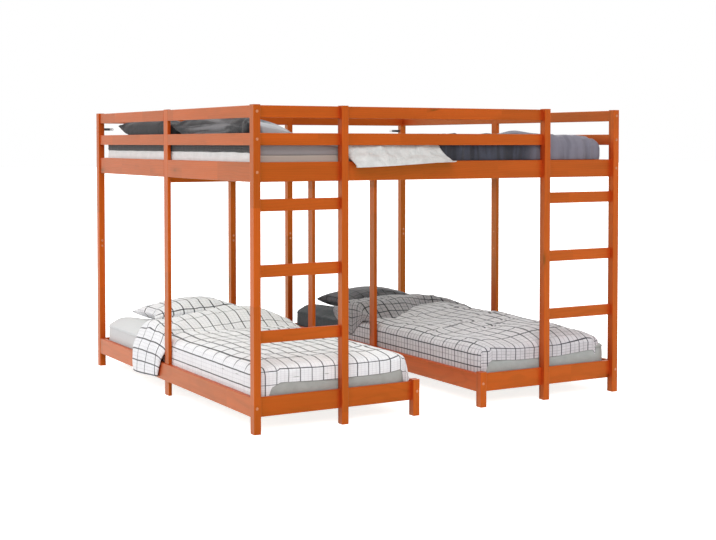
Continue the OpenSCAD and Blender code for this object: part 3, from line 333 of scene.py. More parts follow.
@dataclass(frozen=True)
class SteelFinish:
    """Plated steel with faint cloudy spangle and fine scratches."""

    name: str
    colour: str
    shade: str
    roughness: float = 0.34
    # Whether the rounded ends round the holes carry a painted highlight
    painted_highlight_end: bool = False

    def material(self) -> bpy.types.Material:
        """Build the finish and return the material."""
        made, t = new_finish(self.name)
        point = t.object_point()
        spangle = t.noise(point, 260.0, 3.0, 0.6)
        scratch = t.noise(t.stretch(point, (900.0, 900.0, 90.0)), 1.0, 2.0, 0.5)
        colour = t.mix(t.span(spangle, 0.3, 0.7), linear(self.shade), linear(self.colour))
        if self.painted_highlight_end:
            # Painted highlight on the rounded ends round the holes of the wall angles
            x = t.math("ABSOLUTE", t.minus(t.split(point)[0], 0.015))
            colour = t.mix(t.span(x, 0.949, 0.943), colour, linear("#d9dadb"))
        t.surface(
            Base_Color=colour,
            Metallic=1.0,
            Roughness=t.scaled(spangle, 0.2, self.roughness - 0.1),
            Normal=t.bump(scratch, 0.00004, 0.5),
        )
        return made


@dataclass(frozen=True)
class ClothFinish:
    """Woven cloth: warp and weft at their real pitch, cloudy dye and a soft nap."""

    name: str
    colour: str
    shade: str
    pitch: float = 0.0011
    nap: float = 0.25
    # Colour of a painted sheen along a pillow and a painted highlight on its front end
    painted_sheen: Optional[str] = None
    head: Optional[str] = None
    # Colour painted at the bed's front as light or shade
    front: Optional[str] = None
    # Colour of a painted sheen toward the right, beside painted shade in folds
    right: Optional[str] = None
    crease: float = 0.006

    def weave(self, t: Tree, at: bpy.types.NodeSocket) -> Tuple[bpy.types.NodeSocket, bpy.types.NodeSocket]:
        """The weave's height, and the cloudy unevenness of the dye, at a point in metres."""
        turn = 2 * math.pi / self.pitch
        u, v, w = t.split(at)
        warp, weft = (t.math("SINE", t.times(t.plus(k, t.times(w, 0.7)), turn)) for k in (u, v))
        return t.scaled(t.times(warp, weft), 0.5, 0.5), t.noise(at, 22.0, 4.0, 0.6)

    def close(self, t: Tree, colour, weave, rough: float) -> None:
        """Finish the tree: a colour on the weave and on small creases a few centimetres long.

        Args:
            t: the tree.
            colour: the cloth's colour, pattern and all.
            weave: the weave's height and the dye's unevenness.
            rough: the least roughness.
        """
        height, dye = weave
        small = t.noise(t.stretch(t.object_point(), (1.0, 1.4, 1.0)), 17.0, 4.0, 0.55, 0.6)
        t.surface(
            Base_Color=colour,
            Roughness=t.scaled(dye, 0.16, rough),
            Sheen_Weight=self.nap,
            Sheen_Roughness=0.4,
            Normal=t.bump(small, self.crease, 0.45, t.bump(height, WEAVE_RELIEF, 0.5)),
        )

    def base(self, t: Tree, point: bpy.types.NodeSocket, dye: bpy.types.NodeSocket):
        """The cloth's colour before any pattern, with any painted light and shade."""
        colour = t.mix(t.span(dye, 0.25, 0.75), linear(self.shade), linear(self.colour))
        x, y, z = t.split(point)
        if self.painted_sheen:
            # Painted sheen along the middle of the pillow, and a painted highlight on its front end
            drawn = t.noise(t.stretch(point, (4.0, 3.0, 34.0)), 1.0, 3.0, 0.5, 0.6)
            middle = t.times(t.span(y, -0.88, -0.68), t.span(y, -0.06, -0.24))
            light = t.times(t.times(t.span(drawn, 0.38, 0.66), middle), 0.5)
            end = t.times(t.span(y, -0.80, -0.86), t.span(x, -0.925, -0.90))
            colour = t.mix(t.larger(light, end), colour, linear(self.painted_sheen))
        if self.head:
            # The mattress cover changes its shade at the head end, under the duvet
            colour = t.mix(t.span(y, 0.10, 0.12), colour, linear(self.head))
        if self.front:
            # Painted light where the cloth turns down at the bed's front: painted shade on the ticking and its
            # piping, a painted sheen on the cover
            colour = t.mix(t.span(y, -0.93, -0.985), colour, linear(self.front))
        if self.right:
            # Painted shade in dark folds left of the bed's right part, and a paler painted sheen toward the
            # bed's right side
            fold = t.noise(t.stretch(point, (26.0, 2.0, 3.0)), 1.0, 2.0, 0.5)
            deep = t.times(t.span(fold, 0.52, 0.40), t.span(x, 0.56, 0.40))
            colour = t.mix(t.times(deep, 0.7), colour, linear("#14151c"))
            painted_right_sheen = t.times(t.span(x, 0.45, 0.62), t.span(fold, 0.2, 0.6, 0.55, 1.0))
            colour = t.mix(painted_right_sheen, colour, linear(self.right))
        return colour

    def material(self) -> bpy.types.Material:
        """Build the finish and return the material."""
        made, t = new_finish(self.name)
        point = t.object_point()
        weave = self.weave(t, point)
        self.close(t, self.base(t, point, weave[1]), weave, 0.72)
        return made


@dataclass(frozen=True)
class CheckFinish(ClothFinish):
    """Cloth with a windowpane check: dark lines, drawn stronger and weaker, over a faint fine grid."""

    line: str = "#33343a"
    faint: str = "#a8a4ad"
    check: Tuple[float, float] = (0.060, 0.120)
    line_width: float = 0.0056
    top_line: float = 0.0118
    fine: float = 0.020
    fine_width: float = 0.0026
    fine_share: float = 0.4
    side_share: float = 1.0
    side_reach: Tuple[float, float] = (0.050, 0.110)
    fine_side_and_shade: Optional[float] = None

    def lines(self, t: Tree, along, pitch: float, width: Number, seed: float, other) -> bpy.types.NodeSocket:
        """Lines across a cut coordinate.

        Args:
            t: the tree.
            along: the coordinate in metres.
            pitch: distance from line to line.
            width: a line's width.
            seed: number that sets the lines' strengths.
            other: the other coordinate, which parts each line into stretches of their own strength.

        Returns:
            A mask from 0 to 1: near a multiple of the pitch it is the strength of the line's stretch there.
        """
        place = t.over(along, pitch)
        nearest = t.math("ROUND", place)
        off = t.times(t.math("ABSOLUTE", t.minus(place, nearest)), pitch)
        stretch = t.math("FLOOR", t.over(other, 0.5))
        strength = t.scaled(t.dice(t.join(nearest, stretch, seed)).outputs[0], 0.45, 0.55)
        strength = t.larger(strength, t.math("LESS_THAN", nearest, 2.5))
        inside = t.minus(t.times(width, 0.62), off)
        mask = t.over(inside, t.times(width, 0.26), clamp=True)
        return t.times(mask, strength)

    def material(self) -> bpy.types.Material:
        """Build the finish on the piece's own cut coordinates and return the material."""
        made, t = new_finish(self.name)
        point = t.object_point()
        cut = t.add("ShaderNodeUVMap", uv_map="cut").outputs[0]
        weave = self.weave(t, cut)
        u, v, _ = t.split(cut)
        colour = self.base(t, point, weave[1])
        side = t.math("ABSOLUTE", u)
        fine_u = t.times(self.lines(t, u, self.fine, self.fine_width, 1.0, v), self.fine_share)
        fine_v = self.lines(t, v, self.fine, self.fine_width, 2.0, u)
        fine_across = self.fine_share
        if self.fine_side_and_shade is not None:
            # The fine lines across are drawn stronger where the cloth hangs at the bed's side: partly the print
            # seen there, partly painted shade on that side
            fine_across = t.span(side, *self.side_reach, self.fine_side_and_shade, self.fine_share)
        fine_v = t.times(fine_v, fine_across)
        colour = t.mix(t.larger(fine_u, fine_v), colour, linear(self.faint))
        # The lines are wider on the top, and those across are weaker where the cloth hangs at the bed's side
        top = t.scaled(t.math("LESS_THAN", v, -1.0), 0.22, t.span(v, 0.10, 0.30))
        top = t.times(top, t.span(side, *self.side_reach))
        width = t.scaled(top, self.top_line - self.line_width, self.line_width)
        across = self.lines(t, v, self.check[1], width, 6.0, u)
        across = t.times(across, t.span(side, *self.side_reach, self.side_share, 1.0))
        down = self.lines(t, u, self.check[0], width, 5.0, v)
        self.close(t, t.mix(t.larger(down, across), colour, linear(self.line)), weave, 0.74)
        return made


@dataclass(frozen=True)
class WebbingFinish:
    """Flat woven webbing: small square ribs with darker thread between them."""

    name: str
    colour: str
    shade: str

    def material(self) -> bpy.types.Material:
        """Build the finish and return the material."""
        made, t = new_finish(self.name)
        turn = 2 * math.pi / RIB_PITCH
        x, y = (t.math("SINE", t.times(k, turn)) for k in t.split(t.object_point())[:2])
        height = t.scaled(t.times(x, y), 0.5, 0.5)
        t.surface(
            Base_Color=t.mix(t.span(height, 0.2, 0.8), linear(self.shade), linear(self.colour)),
            Roughness=0.8,
            Normal=t.bump(height, RIB_RELIEF, 0.6),
        )
        return made


# ---------------------------------------------------------------- surfaces


@dataclass
class Surface:
    """A closed soft form: an upper and an under grid of points that meet all round.

    The grids are arrays of (rows, columns, 3) in millimetres. The cut arrays hold the place on the flat
    cloth in millimetres, for patterns.
    """

    over: Array
    under: Array
    cut_over: Array
    cut_under: Array

    def build(self, name: str) -> bpy.types.Object:
        """Join both grids round their rim and make the object.

        Args:
            name: the piece's name.

        Returns:
            The object at the origin, smooth shaded, with its cut coordinates as the map "cut".
        """
        rows, cols = self.over.shape[:2]
        points = np.concatenate([self.over.reshape(-1, 3), self.under.reshape(-1, 3)])
        cut = np.concatenate([self.cut_over.reshape(-1, 2), self.cut_under.reshape(-1, 2)]) / 1000
        index = np.arange(rows * cols).reshape(rows, cols)
        a, b, c, d = index[:-1, :-1], index[:-1, 1:], index[1:, 1:], index[1:, :-1]
        top = np.stack([a, b, c, d], -1).reshape(-1, 4)
        low = np.stack([d, c, b, a], -1).reshape(-1, 4) + rows * cols
        rim = np.concatenate([index[0, :-1], index[:-1, -1], index[-1, :0:-1], index[:0:-1, 0]])
        after = np.roll(rim, -1)
        wall = np.stack([after, rim, rim + rows * cols, after + rows * cols], -1)
        return mesh_object(name, points, np.concatenate([top, low, wall]), cut)


def place(name: str, data: bpy.types.ID) -> bpy.types.Object:
    """Make an object of a mesh, a lamp or a camera, linked to the scene."""
    made = bpy.data.objects.new(name, data)
    bpy.context.scene.collection.objects.link(made)
    return made


def arc_length(path: Array) -> Array:
    """Length from a path's first point to each of its points."""
    return np.concatenate([[0], np.cumsum(np.linalg.norm(np.diff(path, axis=0), axis=1))])


def mesh_object(name: str, points: Array, quads: Array, cut: Optional[Array] = None) -> bpy.types.Object:
    """Make a smooth mesh object from points in millimetres and quads.

    Args:
        name: the piece's name.
        points: (n, 3) points from the frame's front left corner, in millimetres.
        quads: (m, 4) indices.
        cut: (n, 2) cut coordinates in metres, or None.

    Returns:
        The object, linked to the scene, its doubled points merged and its normals outward.
    """
    mesh = bpy.data.meshes.new(name)
    mesh.from_pydata(((points - ORIGIN) / 1000).tolist(), [], quads.tolist())
    if cut is not None:
        layer = mesh.uv_layers.new(name="cut")
        corners = np.empty(len(mesh.loops), dtype=np.int32)
        mesh.loops.foreach_get("vertex_index", corners)
        layer.data.foreach_set("uv", cut[corners].astype(np.float32).ravel())
    work = bmesh.new()
    work.from_mesh(mesh)
    bmesh.ops.remove_doubles(work, verts=work.verts, dist=SAME_POINT)
    bmesh.ops.dissolve_degenerate(work, edges=work.edges, dist=SAME_POINT / 2)
    bmesh.ops.recalc_face_normals(work, faces=work.faces)
    work.to_mesh(mesh)
    work.free()
    mesh.polygons.foreach_set("use_smooth", [True] * len(mesh.polygons))
    mesh.update()
    return place(name, mesh)


def power_sine(angle: Array, power: float) -> Array:
    """Superellipse coordinate: the sine's sign times its size to the power 2 over power."""
    return np.sign(np.sin(angle)) * np.abs(np.sin(angle)) ** (2 / power)


def power_cosine(angle: Array, power: float) -> Array:
    """Superellipse height: the cosine to the power 2 over power, never below nought."""
    return np.maximum(np.cos(angle), 0) ** (2 / power)


def smooth_path(points: Sequence[Sequence[float]], share: Array) -> Array:
    """Walk a smooth curve through points.

    Each span between two points is the cubic that also heeds the points before and after it.

    Args:
        points: (n, k) points.
        share: places along the curve from 0 to 1, any shape.

    Returns:
        An array of share's shape with k values each.
    """
    p = np.asarray(points, dtype=float)
    n = len(p) - 1
    k = np.minimum(np.floor(share * n).astype(int), n - 1)
    f = (share * n - k)[..., None]
    a, b, c, d = p[np.maximum(k - 1, 0)], p[k], p[k + 1], p[np.minimum(k + 2, n)]
    return 0.5 * (2 * b + (c - a) * f + (2 * a - 5 * b + 4 * c - d) * f**2 + (3 * b - a - 3 * c + d) * f**3)


def ripple(x: Array, y: Array, seed: int, lengths: Tuple[float, float], count: int = 14) -> Array:
    """Unevenness of cloth: a sum of waves of fixed random directions, lengths and phases, about -1 to 1."""
    dice = np.random.default_rng(seed)
    total = np.zeros_like(x)
    for _ in range(count):
        angle = dice.uniform(0, math.pi)
        wave = dice.uniform(*lengths)
        phase = dice.uniform(0, 2 * math.pi)
        total = total + np.sin((x * math.cos(angle) + y * math.sin(angle)) * 2 * math.pi / wave + phase)
    return total / math.sqrt(count)


def creases(x: Array, y: Array, seed: int, box: Sequence[float], count: int, width: float) -> Array:
    """Separate soft folds in cloth.

    Each is a ridge along a short straight line: a bell curve across the line, faded out along it.

    Args:
        x, y: the places.
        seed: number that sets the folds.
        box: range of the folds' middles, as low x, high x, low y, high y.
        count: how many.
        width: a fold's half width in millimetres.

    Returns:
        The height, from about -1 to 1.
    """
    dice = np.random.default_rng(seed)
    total = np.zeros_like(x)
    for _ in range(count):
        mid = (dice.uniform(box[0], box[1]), dice.uniform(box[2], box[3]))
        angle = dice.uniform(0, math.pi)
        reach = dice.uniform(50, 150)
        across = -(x - mid[0]) * math.sin(angle) + (y - mid[1]) * math.cos(angle)
        along = (x - mid[0]) * math.cos(angle) + (y - mid[1]) * math.sin(angle)
        bow = across - 0.0011 * dice.uniform(-1, 1) * along**2
        height = dice.choice([-1, 1]) * dice.uniform(0.5, 1)
        broad = width * dice.uniform(0.7, 1.5)
        total += height * np.exp(-((bow / broad) ** 2) - (along / reach) ** 2)
    return total


@dataclass
class Swelling:
    """Cloth simulation that puffs a closed form out and lets its spare cloth wrinkle."""

    pressure: float = 2.5
    spare: float = 0.05
    cap: float = 9.0
    frames: int = 16
    bending: float = 0.4
    stiffness: float = 15.0
    shear: float = 5.0
    mass: float = 0.3

    def run(self, piece: bpy.types.Object, low: Callable[[Array, Array], Array]) -> None:
        """Simulate a piece and keep the result in its mesh.

        Args:
            piece: the closed piece, whose mesh is changed.
            low: function of (x, y) in metres that gives the lowest height a point may take.
        """
        scene = bpy.context.scene
        count = len(piece.data.vertices)
        start = np.empty(count * 3, dtype=np.float32)
        piece.data.vertices.foreach_get("co", start)
        start = start.reshape(-1, 3).astype(float)
        cloth = piece.modifiers.new("Swelling", "CLOTH")
        settings = cloth.settings
        settings.quality = 5
        settings.mass = self.mass
        settings.tension_stiffness = settings.compression_stiffness = self.stiffness
        settings.shear_stiffness = self.shear
        settings.bending_stiffness = self.bending
        settings.use_pressure = True
        settings.uniform_pressure_force = self.pressure
        settings.shrink_min = -self.spare
        settings.effector_weights.gravity = 0
        cloth.collision_settings.use_collision = False
        cloth.point_cache.frame_start = 1
        cloth.point_cache.frame_end = self.frames
        for number in range(1, self.frames + 1):
            scene.frame_set(number)
        seen = piece.evaluated_get(bpy.context.evaluated_depsgraph_get())
        moved = np.empty(count * 3, dtype=np.float32)
        seen.data.vertices.foreach_get("co", moved)
        piece.modifiers.remove(cloth)
        scene.frame_set(1)
        step = moved.reshape(-1, 3).astype(float) - start
        size = np.linalg.norm(step, axis=1, keepdims=True)
        limit = self.cap / 1000
        step *= limit * np.tanh(size / limit) / np.maximum(size, 1e-9)
        end = start + step
        end[:, 2] = np.maximum(end[:, 2], low(end[:, 0], end[:, 1]))
        piece.data.vertices.foreach_set("co", end.astype(np.float32).ravel())
        piece.data.update()


# ---------------------------------------------------------------- the bed's sizes


@dataclass(frozen=True)
class Sizes:
    """Sizes of the frame and the bedding's places, in millimetres, as in the part's source."""

    frame_w: float = 2052.0
    frame_d: float = 2100.0
    post_d: float = 42.0
    mid_y: float = 1023.0
    rail_in: float = 26.0
    bed_w: float = 800.0
    bed_l: float = 2016.0
    left_x: float = 26.0
    right_x: float = 1226.0
    bed_low: float = 126.0
    bed_top: float = 247.0
    rail_top: float = 158.5
    upper_low: float = 1144.5
    upper_top: float = 1224.5
    cover_top: float = 1256.8
    platform_top: float = 1188.5
    gap: float = 10.0


SIZES = Sizes()


def wear(piece: bpy.types.Object, finish: bpy.types.Material, slot: str, *nodes: str) -> bpy.types.Object:
    """Give a new piece its finish and body, and hide the solids that it stands for."""
    piece.data.materials.clear()
    piece.data.materials.append(finish)
    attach(piece, "root")
    if nodes:
        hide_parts(*nodes)
    return piece


def finer(piece: bpy.types.Object) -> None:
    """Smooth a piece with one level of subdivision, the same in every view."""
    made = piece.modifiers.new("Smooth", "SUBSURF")
    made.levels = made.render_levels = 1


def ring_block(name: str, rings: Array, tops: Array) -> bpy.types.Object:
    """A closed form from rings of points, each ring at its own heights, with both ends filled.

    Args:
        name: the piece's name.
        rings: (rows, columns, 2) places.
        tops: (rows, columns) heights.

    Returns:
        The object.
    """
    points = np.concatenate([rings, tops[..., None]], -1)
    rows, cols = tops.shape
    index = np.arange(rows * cols).reshape(rows, cols)
    nxt = np.roll(index, -1, axis=1)
    quads = np.stack([index[:-1], nxt[:-1], nxt[1:], index[1:]], -1).reshape(-1, 4)
    made = mesh_object(name, points.reshape(-1, 3), quads)
    work = bmesh.new()
    work.from_mesh(made.data)
    bmesh.ops.holes_fill(work, edges=[e for e in work.edges if e.is_boundary], sides=0)
    bmesh.ops.recalc_face_normals(work, faces=work.faces)
    work.to_mesh(made.data)
    work.free()
    return made


def rounded_plan(
    mid: Tuple[float, float], half: Tuple[float, float], corners: Sequence[float], count: int
) -> Array:
    """A rectangle with round corners, as even steps along its outline.

    Args:
        mid: its middle.
        half: half its sides.
        corners: radii of its corners: front left, front right, back left, back right.
        count: number of points.

    Returns:
        (count, 2) points, the last not repeated.
    """
    turn = np.linspace(0, 2 * math.pi, 4000, endpoint=False)
    out = np.stack([np.cos(turn), np.sin(turn)], -1)
    radius = np.array(corners)[(out[:, 0] > 0) + 2 * (out[:, 1] > 0)][:, None]
    inner = np.array(half) - radius
    # Round the corner's middle where both sides lie within it, and on the straight sides elsewhere
    reach = out / np.max(np.abs(out) / np.array(half), axis=1, keepdims=True)
    core = np.clip(reach, -inner, inner)
    away = reach - core
    dense = core + radius * away / np.maximum(np.linalg.norm(away, axis=1, keepdims=True), 1e-9)
    dense = np.concatenate([dense, dense[:1]])
    length = arc_length(dense)
    even = np.linspace(0, length[-1], count + 1)[:-1]
    return np.stack([np.interp(even, length, dense[:, k]) for k in (0, 1)], -1) + np.array(mid)


def soft_step(value: Array, low: float, high: float) -> Array:
    """From 0 at low to 1 at high, with level ends: three squares less two cubes of the share."""
    share = np.clip((value - low) / (high - low), 0, 1)
    return share * share * (3 - 2 * share)


# Rings of a mattress and of the cover: a share of the outline's size, and a share of the height
MATTRESS_RINGS = np.array(
    [(0.02, 0), (0.5, 0), (0.9, 0), (0.985, 0), (0.996, 0.02), (1, 0.07), (0.9985, 0.12), (1, 0.3)]
    + [(1.001, 0.5), (1, 0.7), (0.9985, 0.86), (1, 0.91), (0.997, 0.95), (0.988, 0.975), (0.97, 0.985)]
    + [(0.94, 0.99), (0.9, 0.994), (0.85, 0.997), (0.75, 1), (0.6, 1), (0.45, 1), (0.2, 1), (0.02, 1)]
)
COVER_RINGS = np.array(
    [(0.02, 0), (0.5, 0), (0.95, 0), (0.995, 0), (0.999, 0.08), (1, 0.25), (0.9995, 0.48), (0.9988, 0.52)]
    + [(0.9995, 0.56), (1, 0.8), (0.999, 0.94), (0.995, 1), (0.98, 1), (0.9, 1), (0.75, 1), (0.6, 1)]
    + [(0.4, 1), (0.2, 1), (0.02, 1)]
)
# Radii of the upper mattress's and the cover's corners, and how much lower both lie at the front
UPPER_CORNERS = (34, 134, 72, 72)
FRONT_DROP = 13.5


def from_front(y: Array) -> Array:
    """Full at the bed's front end and nought from 150 mm on."""
    return 1 - soft_step(y, 50, 150)


@dataclass
class Mattress:
    """A foam mattress: an upright border, a crown toward its head end, and piping round its edges."""

    name: str
    node: str
    x: Tuple[float, float]
    z: Tuple[float, float]
    slot: str
    finish: bpy.types.Material
    trim: bpy.types.Material
    crown: float = 0.0
    corners: Tuple[float, float, float, float] = (60.0, 60.0, 72.0, 60.0)
    end_gap: float = 6.0
    front_drop: float = 0.0
    piped: bool = True
    sizes: Sizes = SIZES

    def swell(self, x: Array, y: Array) -> Array:
        """Height of the swollen head end over the flat top."""
        from_left = x - self.x[0]
        from_side = np.minimum(from_left, self.x[1] - x)
        from_end = self.sizes.frame_d / 2 + self.sizes.bed_l / 2 - y
        full = 1 - 0.75 * soft_step(from_left, 110, 300)
        head = soft_step(y, 1560, 1700) * soft_step(from_end, -10, 50)
        return self.crown * full * head * soft_step(from_side, 5, 95)

    def outline(self, inset: float) -> Array:
        """Plan of the mattress in even steps: a rectangle with round corners, drawn in by the inset."""
        s = self.sizes
        return rounded_plan(
            ((self.x[0] + self.x[1]) / 2, s.frame_d / 2),
            ((self.x[1] - self.x[0]) / 2 - s.gap / 2 - inset, s.bed_l / 2 - self.end_gap - inset),
            [r - inset for r in self.corners],
            300,
        )

    def build(self) -> List[bpy.types.Object]:
        """Build the body and its piping, along both edges or along the lower edge only.

        The body is rings of the outline from the bottom's middle out, up the border and in to the crown:
        each ring has a share of the outline's size and a height, both from one short list. The front end
        lies lower by its drop.

        Returns:
            The pieces.
        """
        s = self.sizes
        low, tall = self.z[0], self.z[1] - self.z[0]
        size, rise = MATTRESS_RINGS[:, :1, None], MATTRESS_RINGS[:, 1:]
        mid = np.array([(self.x[0] + self.x[1]) / 2, s.frame_d / 2])
        xy = mid + size * (self.outline(1.0) - mid)[None]
        tufts = 1.2 * ripple(xy[..., 0], xy[..., 1], 5, (120, 260), 8) - 1.5
        tops = low + tall * rise + (tufts + self.swell(xy[..., 0], xy[..., 1])) * (rise > 0.94)
        tops = tops - self.front_drop * from_front(xy[..., 1]) * (rise > 0.4)
        body = ring_block(self.name, xy, tops)
        wear(body, self.finish, self.slot, self.node)
        made = [body]
        for k, share in enumerate((0.12, 0.86) if self.piped else (0.12,)):
            cord = self.outline(0.6)
            height = low + tall * share - self.front_drop * from_front(cord[:, 1]) * (share > 0.4)
            path = np.concatenate([cord, height[:, None]], -1)
            piece = tube(f"{self.name}_piping_{k + 1}", path, 2.1)
            wear(piece, self.trim, self.slot)
            made.append(piece)
        return made


def tube(name: str, path: Array, radius: float, sides: int = 8) -> bpy.types.Object:
    """A round cord along a closed level path.

    Each point of the path carries a circle in the plane across the path's direction there.

    Args:
        name: the piece's name.
        path: (n, 3) points in millimetres.
        radius: the cord's radius.
        sides: points round the cord.

    Returns:
        The object.
    """
    ahead = np.roll(path, -1, axis=0) - np.roll(path, 1, axis=0)
    ahead /= np.linalg.norm(ahead, axis=1, keepdims=True)
    up = np.tile([0.0, 0.0, 1.0], (len(path), 1))
    side = np.cross(ahead, up)
    turn = np.linspace(0, 2 * math.pi, sides, endpoint=False)
    points = path[:, None] + radius * (
        np.cos(turn)[None, :, None] * side[:, None] + np.sin(turn)[None, :, None] * up[:, None]
    )
    index = np.arange(len(path) * sides).reshape(len(path), sides)
    index = np.concatenate([index, index[:1]])
    nxt = np.roll(index, -1, axis=1)
    quads = np.stack([index[:-1], index[1:], nxt[1:], nxt[:-1]], -1).reshape(-1, 4)
    return mesh_object(name, points.reshape(-1, 3), quads)


@dataclass
class Pillow:
    """A pillow: a crowned form whose sides draw in between its corners, sewn shut along its middle."""

    name: str
    node: str
    middle: Tuple[float, float, float]
    half: Tuple[float, float, float]
    powers: Tuple[float, float]
    draw: float
    slot: str
    finish: bpy.types.Material
    tilt: float = 0.0
    lean: float = 0.0
    belly: Optional[float] = None
    slant: float = 0.0
    seed: int = 1

    def surface(self) -> Surface:
        """Both halves of the pillow.

        Two angles from -90 to 90 degrees run across it. Place: a superellipse coordinate on each axis,
        drawn in between the corners. Height: the product of both superellipse heights, with creases that
        run in from the seam. Cut coordinates: arc lengths from the middle along both directions.

        Returns:
            The closed form, tilted about Y and set on its place.
        """
        a = np.linspace(-math.pi / 2, math.pi / 2, 81)
        b = np.linspace(-math.pi / 2, math.pi / 2, 65)
        ga, gb = np.meshgrid(a, b)
        s, t = power_sine(ga, self.powers[0]), power_sine(gb, self.powers[1])
        x = (self.half[0] - 2) * s * (1 - self.draw * (1 - t**2) * np.abs(s))
        y = (self.half[1] - 2) * t * (1 - self.draw * (1 - s**2) * np.abs(t))
        rise = power_cosine(ga, self.powers[0]) * power_cosine(gb, self.powers[1])
        edge = (1 - rise) * np.minimum(rise * 6, 1)
        uneven = 1 + 0.06 * ripple(x, y, self.seed, (130, 320), 8) * np.minimum(rise * 2, 1) + self.lean * s
        at_ends = np.sin(x / 19 + 1.3 * np.sin(x / 83)) * np.abs(t) ** 3
        at_sides = np.sin(y / 17 + 1.1 * np.sin(y / 71)) * np.abs(s) ** 3
        pucker = 3.0 * edge * (at_ends + at_sides)
        thick = (self.half[2] - 3) * rise * uneven
        over = np.stack([x, y, thick + pucker], -1)
        under = np.stack([x, y, -((self.belly or self.half[2]) - 2) * rise], -1)
        steps_u = np.linalg.norm(np.diff(over, axis=1), axis=-1)
        steps_v = np.linalg.norm(np.diff(over, axis=0), axis=-1)
        u = np.concatenate([np.zeros((len(b), 1)), np.cumsum(steps_u, axis=1)], 1)
        v = np.concatenate([np.zeros((1, len(a))), np.cumsum(steps_v, axis=0)], 0)
        cut = np.stack([u - u[:, len(a) // 2][:, None] - 2025, v - v[len(b) // 2][None] - 2000], -1)
        return Surface(self.placed(over), self.placed(under), cut, cut + 7.0)

    def placed(self, points: Array) -> Array:
        """Tilt points about Y and move them to the pillow's place."""
        angle = math.radians(self.tilt)
        x, y, z = points[..., 0], points[..., 1], points[..., 2]
        x, z = x * math.cos(angle) + z * math.sin(angle), z * math.cos(angle) - x * math.sin(angle)
        return np.stack([x, y + self.slant * z, z], -1) + np.array(self.middle)

    def build(self, floor: Callable[[Array, Array], Array]) -> bpy.types.Object:
        """Make the pillow, let it swell and wrinkle, and keep it above what it lies on.

        Args:
            floor: function of (x, y) in metres that gives the height in metres of what carries the pillow.

        Returns:
            The piece.
        """
        form = self.surface()
        at = (form.under - ORIGIN) / 1000
        low = 1000 * floor(at[..., 0], at[..., 1])
        form.under[..., 2] = np.maximum(form.under[..., 2], np.minimum(low, form.over[..., 2] - 0.5))
        piece = form.build(self.name)
        Swelling().run(piece, floor)
        wear(piece, self.finish, self.slot, self.node)
        finer(piece)
        return piece


class SheetPiece:
    """A soft piece that is made from one closed surface."""

    fill = 0.4

    def build(self) -> bpy.types.Object:
        """Make the piece."""
        piece = self.surface().build(self.name)
        wear(piece, self.finish, self.slot, self.node)
        return piece


